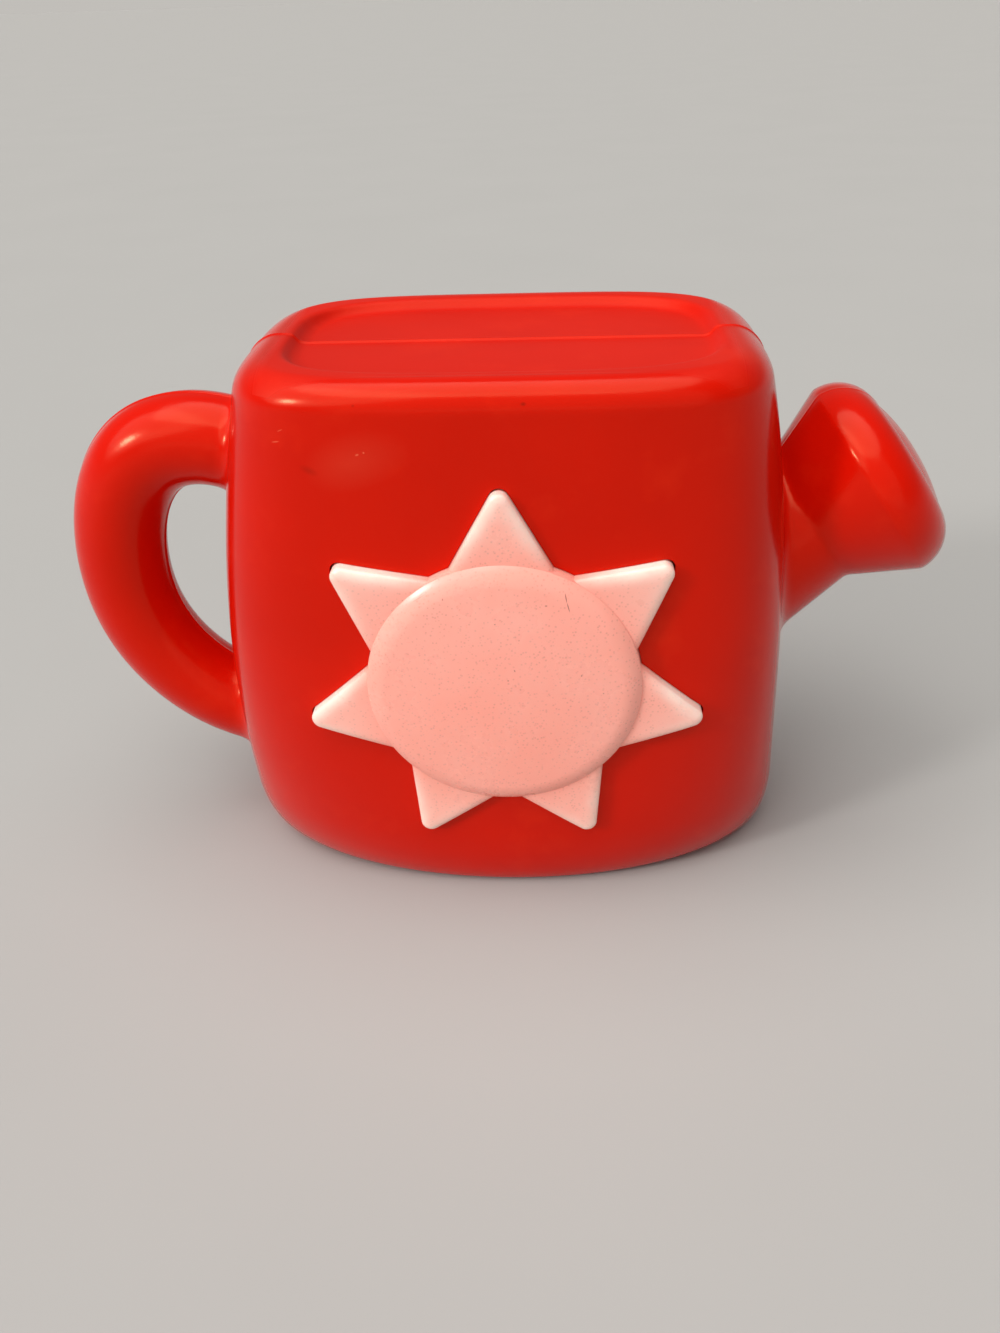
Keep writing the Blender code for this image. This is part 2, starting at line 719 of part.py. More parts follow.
def build_back_shell():
    made = shell_half("back_shell", 1)
    seam = SEAT_GAP / 2
    far = 2 * HALF_DEPTH
    posts = []
    bores = []
    wells = []
    for x, z, seat, length, reach in case_screw_spots():
        posts.append((x, z, POST_RADIUS, seam, reach))
        bores.append((x, z, BORE_RADIUS, -SEAT_GAP, seat + SEAT_GAP))
        wells.append((x, z, COUNTERBORE_RADIUS, seat, far))
    for x in (-CLAMP_SCREW_X, CLAMP_SCREW_X):
        reach = wall_depth(outwards(x, BOSS_RADIUS), SPEAKER_HEIGHT, WALL / 2)
        posts.append((x, SPEAKER_HEIGHT, BOSS_RADIUS, CLAMP_BACK + SEAT_GAP, reach))
        deep = CLAMP_FRONT + CLAMP_SCREW_LENGTH
        bores.append((x, SPEAKER_HEIGHT, BORE_RADIUS, CLAMP_BACK, deep))
    for x in (-BOX_SCREW_X, BOX_SCREW_X):
        reach = wall_depth(outwards(x, BOSS_RADIUS), BOX_SCREW_HEIGHT, WALL / 2)
        face = BOX_EAR_DEPTH + BOX_EAR_THICK + SEAT_GAP
        posts.append((x, BOX_SCREW_HEIGHT, BOSS_RADIUS, face, reach))
        bores.append((x, BOX_SCREW_HEIGHT, BORE_RADIUS, BOX_EAR_DEPTH, BOX_EAR_DEPTH + SHORT_SCREW_LENGTH))
    join(made, tool("back_posts", rods("back_posts", *posts, segments=14)))
    collar_radius = SPEAKER_RADIUS + SEAT_GAP
    collar = [
        (collar_radius + COLLAR_WALL, wall_depth(0, SPEAKER_HEIGHT, WALL / 2)),
        (collar_radius + COLLAR_WALL, FLANGE_REAR + SEAT_GAP),
        (collar_radius, FLANGE_REAR + SEAT_GAP),
        (collar_radius, wall_depth(0, SPEAKER_HEIGHT, WALL / 2)),
    ]
    half_step = Matrix.Rotation(math.pi / COLLAR_STEPS, 4, "Z")
    place = Matrix.Translation((0, 0, SPEAKER_HEIGHT)) @ ALONG_Y @ half_step
    join(made, tool("speaker_collar", turned("speaker_collar", collar, place, COLLAR_STEPS, ring=True)))
    cut(made, tool("screw_wells", rods("screw_wells", *wells, segments=14)))
    cut(made, tool("back_bores", rods("back_bores", *bores, segments=10)))
    cut(made, tool("grille_holes", grille_holes()))
    wide = DOOR_HALF + DOOR_GAP
    opening = ((-wide, BOX_RIM - WALL, DOOR_BOTTOM), (wide, far, DOOR_TOP + DOOR_GAP))
    cut(made, tool("door_opening", blocks("door_opening", opening)))
    join(made, door_lug())
    return made


def door_lug():
    """Lug that rises from the wall under the door and takes the door's screw."""
    half = DOOR_LUG_WIDTH / 2
    top = BAY_LOW - BOX_WALL - SEAT_GAP
    low = (-half, LUG_FACE - DOOR_LUG_DEPTH, DOOR_BOTTOM - BASE_FILLET_WIDTH)
    made = tool("door_lug", blocks("door_lug", (low, (half, LUG_FACE, top))))
    root = (half, wall_depth(half, DOOR_BOTTOM, WALL), DOOR_BOTTOM - SEAT_GAP)
    join(made, tool("lug_foot", blocks("lug_foot", (low, root))))
    radius = SCREW_RADIUS + DOOR_SCREW_GAP
    hole = (0, DOOR_SCREW_HEIGHT, radius, LUG_FACE - DOOR_LUG_DEPTH / 1.5, 2 * HALF_DEPTH)
    cut(made, tool("lug_bore", rods("lug_bore", hole)))
    return made


# Sun button and its works

def build_sun_button():
    made = part("sun_button", prism("sun_button", star_outline(0), 2 * DISC_FRONT, FLANGE_MIDDLE), PINK)
    keep(made, tool("star_face", proud_body("star_face", STAR_PROUD)))
    join(made, tool("sun_flange", prism("sun_flange", FLANGE_OUTLINE, FLANGE_FRONT, FLANGE_BACK)))
    inside = prism("sun_hollow", star_outline(-SUN_WALL), 2 * DISC_FRONT, FLANGE_BACK + SEAT_GAP)
    hollow = tool("sun_hollow", inside)
    keep(hollow, tool("star_skin", proud_body("star_skin", STAR_PROUD - SUN_WALL)))
    radius = DISC_RADIUS - DISC_STEP
    flat = radius - DISC_SHOULDER
    shoulder = arc((flat, DISC_PROUD - DISC_CROWN - DISC_SHOULDER), DISC_SHOULDER, math.pi / 2, 0, 5)
    crown = [(flat * k, DISC_PROUD - DISC_CROWN * k**2) for k in np.linspace(0, 1, 4)[:-1]]
    profile = crown + shoulder + [(radius, -SUN_WALL / 2), (0, -SUN_WALL / 2)]
    place = Matrix.Translation((0, STAR_FRONT, SUN_HEIGHT)) @ AGAINST_Y
    join(made, tool("sun_disc", turned("sun_disc", profile, place, 36)))
    cut(made, hollow)
    well = (0, SUN_HEIGHT, flat, DISC_FRONT + DISC_CROWN + SUN_WALL, FLANGE_MIDDLE)
    cut(made, tool("disc_well", rods("disc_well", well, segments=24)))
    inner = DISC_FRONT + DISC_CROWN + SUN_WALL / 2
    posts = [(0, SUN_HEIGHT, PLUNGER_RADIUS, inner, PLUNGER_END)]
    for x, z in SPRING_SPOTS:
        posts.append((x, z, SEAT_RADIUS, inner, SPRING_FRONT))
    join(made, tool("sun_posts", rods("sun_posts", *posts)))
    spigots = [(x, z, SPIGOT_RADIUS, inner, SPRING_FRONT + SPIGOT_LENGTH) for x, z in SPRING_SPOTS]
    join(made, tool("sun_spigots", rods("sun_spigots", *spigots, segments=10)))
    move_origin(made, (0, STAR_FRONT, SUN_HEIGHT))
    return made


def coil(turns, start, end, first_radius, last_radius, per_turn=8):
    """Points of a coil about Y from start to end, its radius running from first to last."""
    count = turns * per_turn + 1
    share = np.linspace(0, 1, count)
    angle = 2 * math.pi * turns * share
    radius = first_radius + (last_radius - first_radius) * share
    return np.column_stack((radius * np.cos(angle), start + (end - start) * share, radius * np.sin(angle)))


def least_turn_gap(points, per_turn, wire):
    """Least clear distance between one turn of a coil and the next."""
    apart = np.linalg.norm(points[per_turn:] - points[:-per_turn], axis=1)
    return float(apart.min() - 2 * wire)


def build_button_springs():
    start = SPRING_FRONT + SEAT_GAP + SPRING_WIRE
    end = BRACKET_FRONT - SEAT_GAP - SPRING_WIRE
    route = coil(SPRING_TURNS, start, end, SPRING_RADIUS, SPRING_RADIUS)
    print("button spring turn gap, mm:", round(least_turn_gap(route, 8, SPRING_WIRE) / MM, 2))
    for number, (x, z) in enumerate(SPRING_SPOTS, 1):
        name = f"button_spring_{number}"
        made = part(name, tube(name, route, SPRING_WIRE, resolution=1), STEEL)
        made.location = (x, 0, z)


def build_bracket():
    plate = rods("button_bracket", (0, SUN_HEIGHT, BRACKET_RADIUS, BRACKET_FRONT, BRACKET_BACK), segments=40)
    made = part("button_bracket", plate, GREY)
    posts = [(x, z, STANDOFF_RADIUS, BRACKET_FRONT, BRACKET_BACK + STANDOFF) for x, z in BOARD_SCREWS]
    posts += [(x, z, SPIGOT_RADIUS, BRACKET_FRONT - SPIGOT_LENGTH, BRACKET_BACK) for x, z in SPRING_SPOTS]
    join(made, tool("bracket_posts", rods("bracket_posts", *posts, segments=12)))
    before = BRACKET_FRONT - SEAT_GAP
    beyond = BRACKET_BACK + SEAT_GAP
    holes = [(x, z, BORE_RADIUS, before, beyond) for x, z in BRACKET_SCREWS]
    holes.append((0, SUN_HEIGHT, PLUNGER_RADIUS + PLUNGER_GAP, before, beyond))
    deep = BOARD_BACK + SEAT_GAP - BOARD_SCREW_LENGTH - SEAT_GAP
    holes += [(x, z, BORE_RADIUS, deep, BOARD_FRONT) for x, z in BOARD_SCREWS]
    cut(made, tool("bracket_holes", rods("bracket_holes", *holes, segments=12)))


def build_dome():
    waist = DOME_HEIGHT / 3
    profile = [
        (0, DOME_HEIGHT),
        (DOME_TOP_RADIUS, DOME_HEIGHT),
        (DOME_TOP_RADIUS, DOME_HEIGHT - waist),
        (DOME_RADIUS - waist / 2, waist),
        (DOME_RADIUS, 0),
        (DOME_RADIUS - waist, 0),
        (DOME_TOP_RADIUS - waist / 2, DOME_HEIGHT - 2 * waist),
        (0, DOME_HEIGHT - 2 * waist),
    ]
    place = Matrix.Translation((0, DOME_BACK, SUN_HEIGHT)) @ AGAINST_Y
    part("switch_dome", turned("switch_dome", profile, place), RUBBER)


def build_board():
    low = (-BOARD_WIDTH / 2, BOARD_FRONT, SUN_HEIGHT - BOARD_HEIGHT / 2)
    high = (BOARD_WIDTH / 2, BOARD_BACK, SUN_HEIGHT + BOARD_HEIGHT / 2)
    made = part("circuit_board", blocks("circuit_board", (low, high)), BOARD)
    beyond = SEAT_GAP
    holes = [(x, z, BORE_RADIUS, BOARD_FRONT - beyond, BOARD_BACK + beyond) for x, z in BOARD_SCREWS]
    cut(made, tool("board_holes", rods("board_holes", *holes, segments=12)))
    face = BOARD_BACK + SEAT_GAP
    blob = [(CHIP_RADIUS * math.sin(a), CHIP_HEIGHT * math.cos(a)) for a in np.linspace(0, math.pi / 2, 6)]
    place = Matrix.Translation((CHIP_X, face, SUN_HEIGHT + BOARD_HEIGHT / 4)) @ ALONG_Y
    part("sound_chip", turned("sound_chip", blob + [(0, 0)], place), EPOXY)
    can = (-CHIP_X, SUN_HEIGHT - BOARD_HEIGHT / 4, CAPACITOR_RADIUS, face, face + CAPACITOR_LENGTH)
    part("capacitor", rods("capacitor", can, segments=16), BLACK)


def screw(name, x, z, seat, length, side):
    """Screw along Y whose head lies beyond its seat, on the side given."""
    dome = SCREW_HEAD_HEIGHT / 3
    profile = [
        (0, SCREW_HEAD_HEIGHT),
        (SCREW_HEAD_RADIUS * 0.7, SCREW_HEAD_HEIGHT),
        (SCREW_HEAD_RADIUS, SCREW_HEAD_HEIGHT - dome),
        (SCREW_HEAD_RADIUS, 0),
        (SCREW_RADIUS, 0),
        (SCREW_RADIUS, -length + SCREW_RADIUS),
        (0, -length),
    ]
    made = part(name, turned(name, profile, ALONG_Y if side > 0 else AGAINST_Y, 10), STEEL)
    made.location = (x, seat + side * SEAT_GAP, z)
    return made


def build_screws():
    for number, (x, z, seat, length, reach) in enumerate(case_screw_spots(), 1):
        screw(f"case_screw_{number}", x, z, seat, length, 1)
    for number, (x, z) in enumerate(BRACKET_SCREWS, 1):
        screw(f"bracket_screw_{number}", x, z, BRACKET_BACK, SHORT_SCREW_LENGTH, 1)
    for number, (x, z) in enumerate(BOARD_SCREWS, 1):
        screw(f"board_screw_{number}", x, z, BOARD_BACK, BOARD_SCREW_LENGTH, 1)
    for number, side in enumerate((-1, 1), 1):
        x = side * CLAMP_SCREW_X
        screw(f"clamp_screw_{number}", x, SPEAKER_HEIGHT, CLAMP_FRONT, CLAMP_SCREW_LENGTH, -1)
        x = side * BOX_SCREW_X
        screw(f"box_screw_{number}", x, BOX_SCREW_HEIGHT, BOX_EAR_DEPTH, SHORT_SCREW_LENGTH, -1)


# Speaker

def build_speaker():
    place = Matrix.Translation((0, SPEAKER_FACE, SPEAKER_HEIGHT)) @ ALONG_Y
    lip = BASKET_TOP - SPEAKER_FLANGE
    skin = SPEAKER_FLANGE
    frame = [
        (SPEAKER_RADIUS, 0),
        (SPEAKER_RADIUS, -SPEAKER_FLANGE),
        (BASKET_TOP, -SPEAKER_FLANGE),
        (BASKET_RADIUS, -SPEAKER_DEPTH + skin),
        (BASKET_RADIUS, -SPEAKER_DEPTH),
        (COIL_RADIUS + SEAT_GAP, -SPEAKER_DEPTH),
        (COIL_RADIUS + SEAT_GAP, -SPEAKER_DEPTH + skin),
        (BASKET_RADIUS - skin, -SPEAKER_DEPTH + skin),
        (lip, -2 * SPEAKER_FLANGE),
        (lip, 0),
    ]
    part("speaker_frame", turned("speaker_frame", frame, place, 24, ring=True), STEEL)
    cone = [
        (0, -CONE_DEPTH + 2 * CONE_THICK),
        (COIL_RADIUS / 2, -CONE_DEPTH + CONE_THICK),
        (COIL_RADIUS, -CONE_DEPTH),
        (CONE_RADIUS, -SPEAKER_FLANGE),
        (CONE_RADIUS, -SPEAKER_FLANGE - CONE_THICK),
        (COIL_RADIUS, -CONE_DEPTH - 2 * CONE_THICK),
        (0, -CONE_DEPTH - CONE_THICK),
    ]
    part("speaker_cone", turned("speaker_cone", cone, place, 24), PAPER)
    rear = -SPEAKER_DEPTH - SEAT_GAP
    chamfer = MAGNET_THICK / 10
    magnet = [
        (0, rear),
        (MAGNET_RADIUS - chamfer, rear),
        (MAGNET_RADIUS, rear - chamfer),
        (MAGNET_RADIUS, rear - MAGNET_THICK),
        (0, rear - MAGNET_THICK),
    ]
    part("speaker_magnet", turned("speaker_magnet", magnet, place, 24), BLACK)
    inner = BASKET_TOP + SEAT_GAP
    outer = SPEAKER_RADIUS + COLLAR_WALL
    ring = [(outer, CLAMP_BACK), (outer, CLAMP_FRONT), (inner, CLAMP_FRONT), (inner, CLAMP_BACK)]
    ring_place = Matrix.Translation((0, 0, SPEAKER_HEIGHT)) @ ALONG_Y
    made = part("speaker_clamp", turned("speaker_clamp", ring, ring_place, 24, ring=True), GREY)
    ears = []
    for side in (-1, 1):
        near, far = sorted((side * SPEAKER_RADIUS, side * (CLAMP_SCREW_X + CLAMP_EAR / 2)))
        low = (near, CLAMP_FRONT, SPEAKER_HEIGHT - CLAMP_EAR / 2)
        ears.append((low, (far, CLAMP_BACK, SPEAKER_HEIGHT + CLAMP_EAR / 2)))
    join(made, tool("clamp_ears", blocks("clamp_ears", *ears)))
    holes = [
        (side * CLAMP_SCREW_X, SPEAKER_HEIGHT, BORE_RADIUS, CLAMP_FRONT - SEAT_GAP, CLAMP_BACK + SEAT_GAP)
        for side in (-1, 1)
    ]
    cut(made, tool("clamp_holes", rods("clamp_holes", *holes, segments=12)))


# Battery compartment

def build_battery_box():
    outer = ((-BOX_HALF, BAY_FLOOR - BOX_WALL, BAY_LOW - BOX_WALL), (BOX_HALF, BOX_RIM, BAY_HIGH + BOX_WALL))
    made = part("battery_box", blocks("battery_box", outer), BLACK)
    ears = []
    for side in (-1, 1):
        near, far = sorted((side * BAY_HALF, side * (BOX_HALF + BOX_EAR)))
        low = (near, BOX_EAR_DEPTH, BOX_SCREW_HEIGHT - BOX_EAR / 2)
        ears.append((low, (far, BOX_EAR_DEPTH + BOX_EAR_THICK, BOX_SCREW_HEIGHT + BOX_EAR / 2)))
    join(made, tool("box_ears", blocks("box_ears", *ears)))
    bay = ((-BAY_HALF, BAY_FLOOR, BAY_LOW), (BAY_HALF, 2 * HALF_DEPTH, BAY_HIGH))
    cut(made, tool("box_bay", blocks("box_bay", bay)))
    beyond = BOX_EAR_DEPTH + BOX_EAR_THICK + SEAT_GAP
    holes = [
        (side * BOX_SCREW_X, BOX_SCREW_HEIGHT, BORE_RADIUS, BOX_EAR_DEPTH - SEAT_GAP, beyond)
        for side in (-1, 1)
    ]
    cut(made, tool("box_holes", rods("box_holes", *holes, segments=12)))
    room = TAB_WIDTH / 2 + TAB_ROOM
    notch_floor = TAB_BACK - TAB_THICK - TAB_REACH
    notches = [
        ((x - room, notch_floor, BAY_HIGH - BOX_WALL), (x + room, HALF_DEPTH, BAY_HIGH + 2 * BOX_WALL))
        for x in (-TAB_X, TAB_X)
    ]
    slot_half = CONTACT_WIDTH / 2 + SEAT_GAP
    slots = [
        (
            (-BAY_HALF, BAY_FLOOR - 2 * BOX_WALL, height - slot_half),
            (-BAY_HALF + CONTACT_THICK + 2 * SEAT_GAP, BAY_FLOOR + BOX_WALL, height + slot_half),
        )
        for height in (CELL_LOWER_HEIGHT, CELL_UPPER_HEIGHT)
    ]
    cut(made, tool("tab_notches", blocks("tab_notches", *notches)))
    cut(made, tool("contact_slots", blocks("contact_slots", *slots)))


def build_contacts():
    half = CONTACT_WIDTH / 2
    left = -BAY_HALF + SEAT_GAP
    tail = BAY_FLOOR - BOX_WALL - CONTACT_TAIL
    top = CELL_DEPTH + half
    for name, height in (("contact_minus", CELL_LOWER_HEIGHT), ("contact_plus", CELL_UPPER_HEIGHT)):
        plate = ((left, tail, height - half), (left + CONTACT_THICK, top, height + half))
        part(name, blocks(name, plate), STEEL)
    right = BAY_HALF - SEAT_GAP
    bridge = (
        (right - CONTACT_THICK, CELL_DEPTH - half, CELL_LOWER_HEIGHT - half),
        (right, top, CELL_UPPER_HEIGHT + half),
    )
    part("contact_bridge", blocks("contact_bridge", bridge), STEEL)


def build_cells():
    """Two cells laid head to tail, each pressed by a conical spring at its flat end."""
    shoulder = CELL_RADIUS / 15
    profile = [
        (0, CELL_LENGTH + CELL_NUB),
        (CELL_NUB_RADIUS, CELL_LENGTH + CELL_NUB),
        (CELL_NUB_RADIUS, CELL_LENGTH),
        (CELL_RADIUS - shoulder, CELL_LENGTH),
        (CELL_RADIUS, CELL_LENGTH - shoulder),
        (CELL_RADIUS, shoulder),
        (CELL_RADIUS - shoulder, 0),
        (0, 0),
    ]
    inside = BAY_HALF - SEAT_GAP - CONTACT_THICK
    end = CELL_SPRING_LENGTH - SEAT_GAP - CELL_SPRING_WIRE
    start = SEAT_GAP + CELL_SPRING_WIRE
    route = coil(CELL_SPRING_TURNS, start, end, CELL_SPRING_BASE, CELL_SPRING_TOP)
    print("battery spring turn gap, mm:", round(least_turn_gap(route, 8, CELL_SPRING_WIRE) / MM, 2))
    rows = ((1, CELL_LOWER_HEIGHT, 1), (2, CELL_UPPER_HEIGHT, -1))
    for number, height, way in rows:
        flat_end = Matrix.Translation((-way * (inside - CELL_SPRING_LENGTH), CELL_DEPTH, height))
        turn = Matrix.Rotation(0 if way > 0 else math.pi, 4, "Z")
        name = f"battery_{number}"
        part(name, turned(name, profile, flat_end @ turn @ ALONG_X, 20), CELL)
        name = f"battery_spring_{number}"
        made = part(name, tube(name, route, CELL_SPRING_WIRE, resolution=1), STEEL)
        made.location = (-way * inside, CELL_DEPTH, height)
        made.rotation_euler = (0, 0, -way * math.pi / 2)


def build_door():
    hinge = bpy.data.objects.new("door_hinge", None)
    PARTS.objects.link(hinge)
    hinge.location = (0, DOOR_AXIS_Y, DOOR_TOP + DOOR_GAP)
    slab = ((-DOOR_HALF, BOX_RIM, DOOR_BOTTOM + DOOR_GAP), (DOOR_HALF, 2 * HALF_DEPTH, DOOR_TOP))
    made = part("battery_door", blocks("battery_door", slab), RED)
    keep(made, SHAPERS["body"])
    cut(made, tool("door_inside", inner_body("door_inside", DOOR_THICK)))
    tabs = []
    for side in (-1, 1):
        low = side * TAB_X - TAB_WIDTH / 2
        high = side * TAB_X + TAB_WIDTH / 2
        front = TAB_BACK - TAB_THICK
        root = DOOR_TOP - TAB_REACH
        tabs.append(((low, front, root), (high, TAB_BACK, DOOR_TOP + TAB_REACH)))
        riser = (high, HALF_DEPTH - DOOR_THICK / 2, DOOR_TOP - SEAT_GAP)
        tabs.append(((low, TAB_BACK - TAB_THICK / 2, root), riser))
    for number, span in enumerate(tabs):
        join(made, tool(f"door_tab_{number}", blocks(f"door_tab_{number}", span)))
    boss = (0, DOOR_SCREW_HEIGHT, COUNTERBORE_RADIUS + DOOR_GAP, DOOR_BOSS_END, HALF_DEPTH - DOOR_THICK / 2)
    join(made, tool("door_boss", rods("door_boss", boss)))
    holes = (
        (0, DOOR_SCREW_HEIGHT, BORE_RADIUS, DOOR_BOSS_END - SEAT_GAP, DOOR_SEAT_Y + SEAT_GAP),
        (0, DOOR_SCREW_HEIGHT, COUNTERBORE_RADIUS, DOOR_SEAT_Y, 2 * HALF_DEPTH),
    )
    for number, hole in enumerate(holes):
        cut(made, tool(f"door_hole_{number}", rods(f"door_hole_{number}", hole)))
    made.parent = hinge
    made.matrix_parent_inverse = Matrix.Translation(-hinge.location)
    fixing = screw("door_screw", 0, DOOR_SCREW_HEIGHT, DOOR_SEAT_Y, DOOR_SCREW_LENGTH, 1)
    fixing.parent = hinge
    fixing.matrix_parent_inverse = Matrix.Translation(-hinge.location)


# Leads

def lead(name, knots, finish):
    part(name, tube(name, smooth_path(knots, LEAD_STEPS), LEAD_RADIUS, resolution=1), finish)


def build_leads():
    """Battery leads run from the contacts' tails to the board, speaker leads from the frame to the board."""
    pad = BOARD_BACK + SEAT_GAP
    stand = 4 * MM
    tail = -BAY_HALF + 2 * SEAT_GAP + CONTACT_THICK
    low = BAY_FLOOR - BOX_WALL - CONTACT_TAIL / 2
    inward = 6 * MM
    for name, height, finish in (
        ("battery_lead_minus", CELL_LOWER_HEIGHT, LEAD_BLACK),
        ("battery_lead_plus", CELL_UPPER_HEIGHT, LEAD_RED),
    ):
        board_height = SUN_HEIGHT + (height - BOX_SCREW_HEIGHT) / 2
        end_x = -BOARD_WIDTH / 2 + inward
        knots = [
            (tail, low, height),
            (tail + stand, low, height),
            (end_x, pad + 2 * stand, board_height),
            (end_x, pad + stand, board_height),
            (end_x, pad, board_height),
        ]
        lead(name, knots, finish)
    spread = CONE_RADIUS / 3
    tag = (BASKET_TOP + BASKET_RADIUS) / 2
    slope = (SPEAKER_DEPTH - 2 * SPEAKER_FLANGE) / (BASKET_TOP - BASKET_RADIUS)
    rear = FLANGE_REAR - SEAT_GAP - (BASKET_TOP - tag + LEAD_RADIUS) * slope
    terminal = SPEAKER_HEIGHT - math.sqrt(tag**2 - spread**2)
    for number, side in enumerate((-1, 1), 1):
        board_height = SUN_HEIGHT + BOARD_HEIGHT / 2 - stand
        knots = [
            (side * spread, rear, terminal),
            (side * spread, rear - stand, terminal),
            (side * spread, pad + 2 * stand, board_height),
            (side * spread, pad + stand, board_height),
            (side * spread, pad, board_height),
        ]
        lead(f"speaker_lead_{number}", knots, LEAD_RED if side > 0 else LEAD_BLACK)


build_front_shell()
build_back_shell()
build_sun_button()
build_button_springs()
build_bracket()
build_dome()
build_board()
build_speaker()
build_battery_box()
build_contacts()
build_cells()
build_door()
build_screws()
build_leads()
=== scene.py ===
"""Looks of the musical watering can toy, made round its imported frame.

The can stands at the origin, spout towards +X, sun towards -Y and +Z up, in metres.
"""

import json
import logging
import math
from dataclasses import dataclass, field
from enum import Enum

import bmesh
import bpy
import numpy as np
from mathutils import Matrix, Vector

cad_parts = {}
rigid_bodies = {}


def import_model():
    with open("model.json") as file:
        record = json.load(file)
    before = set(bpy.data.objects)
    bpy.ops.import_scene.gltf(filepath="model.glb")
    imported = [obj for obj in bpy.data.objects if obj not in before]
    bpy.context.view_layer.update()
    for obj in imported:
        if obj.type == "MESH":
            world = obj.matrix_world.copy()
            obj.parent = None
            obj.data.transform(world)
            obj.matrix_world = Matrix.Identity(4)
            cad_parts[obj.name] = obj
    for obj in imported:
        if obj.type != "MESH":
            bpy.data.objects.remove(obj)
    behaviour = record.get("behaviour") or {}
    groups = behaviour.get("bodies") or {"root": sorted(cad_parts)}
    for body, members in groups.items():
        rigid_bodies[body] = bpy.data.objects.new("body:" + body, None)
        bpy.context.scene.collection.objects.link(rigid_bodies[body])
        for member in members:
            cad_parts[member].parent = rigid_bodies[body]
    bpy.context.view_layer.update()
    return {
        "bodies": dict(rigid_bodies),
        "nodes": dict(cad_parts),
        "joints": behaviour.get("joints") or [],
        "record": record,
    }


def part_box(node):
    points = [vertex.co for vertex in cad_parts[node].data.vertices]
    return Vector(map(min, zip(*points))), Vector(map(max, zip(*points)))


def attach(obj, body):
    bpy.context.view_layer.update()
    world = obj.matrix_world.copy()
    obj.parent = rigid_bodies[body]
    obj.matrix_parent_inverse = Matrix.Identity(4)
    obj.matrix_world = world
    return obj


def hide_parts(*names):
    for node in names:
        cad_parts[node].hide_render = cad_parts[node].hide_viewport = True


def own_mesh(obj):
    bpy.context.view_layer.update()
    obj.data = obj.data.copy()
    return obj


Piece = bpy.types.Object
Socket = bpy.types.NodeSocket
Pair = tuple[float, float]
Place = tuple[float, float]
Point = tuple[float, float, float]
Colour = tuple[float, float, float]
Inputs = dict[str | int, object]

LOG = logging.getLogger("watering_can")
MM = 0.001
CASE = "case"
SUN = "sun"
DOOR = "door"
DOOR_FIXING = "door_fixing"
CELL_SPRING_ENDS = (4.0 * MM, 2.2 * MM)
CASE_SCREWS = 6
BUTTON_SPRINGS = 3
# Length below which an edge is closed up
SHORT_EDGE = 0.001 * MM
# Bend above which an edge stays sharp
SHARP_ANGLE = math.radians(34.0)
# How far a cutter passes the face that it cuts
OVERCUT = 1.0 * MM
# Radius of the ring that ends a turned shape, inside which a fan closes it
POLE = 0.1 * MM
# Least length that a vector is divided by
TINY = 1e-9
# A quarter of a turn
QUARTER = math.pi / 2
ALONG_Y = Matrix.Rotation(math.radians(-90), 4, "X")
AGAINST_Y = Matrix.Rotation(math.radians(90), 4, "X")


class Solve(Enum):
    """How one solid works on another."""

    JOIN = "UNION"
    CUT = "DIFFERENCE"
    KEEP = "INTERSECT"


class Side(Enum):
    """The half of the case that a shell is."""

    FRONT = -1
    BACK = 1


class Axis(Enum):
    """The direction that a spring is wound along, by its place in a point."""

    X = 0
    Y = 1


class Nub(Enum):
    """The end of a cell that has the nub."""

    LEFT = -1
    RIGHT = 1


Step = tuple[Solve, Piece]


# Surfaces on grids


def quads_of(rows: int, columns: int) -> np.ndarray:
    """Corner numbers of a grid's faces; the columns wrap round.

    Args:
        rows: number of rows.
        columns: points in each row.

    Returns:
        Array of four corner numbers a face.
    """
    row = columns * np.arange(rows - 1)[:, None]
    column = np.arange(columns)[None, :]
    after = (column + 1) % columns
    below = row + columns
    corners = (row + column, row + after, below + after, below + column)
    return np.stack(np.broadcast_arrays(*corners), axis=-1).reshape(-1, 4)


def signed_volume(points: np.ndarray, quads: np.ndarray, fans: np.ndarray) -> float:
    """Volume by the sum of tetrahedra over the faces, negative when the faces point inwards.

    Args:
        points: vertices.
        quads: four corners a face.
        fans: three corners a face.

    Returns:
        Six times the volume, with its sign.
    """
    triangles = np.concatenate((quads[:, [0, 1, 2]], quads[:, [0, 2, 3]], fans))
    a, b, c = (points[triangles[:, k]] for k in range(3))
    return float(np.einsum("ij,ij->i", a, np.cross(b, c)).sum())


def add_object(name: str, points: np.ndarray, quads: np.ndarray, fans: np.ndarray | None = None) -> Piece:
    """A closed mesh object at the origin, with its faces turned outwards.

    Args:
        name: object name.
        points: vertices in the row frame.
        quads: four corners a face.
        fans: three corners a face.

    Returns:
        The object, linked to the scene.
    """
    fans = np.zeros((0, 3), int) if fans is None else fans
    if signed_volume(points, quads, fans) < 0:
        quads, fans = quads[:, ::-1], fans[:, ::-1]
    mesh = bpy.data.meshes.new(name)
    mesh.from_pydata(points.tolist(), [], quads.tolist() + fans.tolist())
    mesh.update()
    made = bpy.data.objects.new(name, mesh)
    bpy.context.scene.collection.objects.link(made)
    return made


def solid_of_rows(name: str, rows: np.ndarray) -> Piece:
    """Solid whose skin is a grid of rings, closed at both ends by a fan round the end ring's middle.

    Args:
        name: object name.
        rows: rings of points, as rows x columns x 3.

    Returns:
        The solid.
    """
    count, columns = rows.shape[:2]
    points = np.concatenate((rows.reshape(-1, 3), rows[0].mean(0)[None], rows[-1].mean(0)[None]))
    spot = np.arange(columns)
    after = (spot + 1) % columns
    last = (count - 1) * columns
    first_pole = np.full(columns, count * columns)
    fans = np.concatenate((
        np.stack((after, spot, first_pole), 1),
        np.stack((last + spot, last + after, first_pole + 1), 1),
    ))
    return add_object(name, points, quads_of(count, columns), fans)


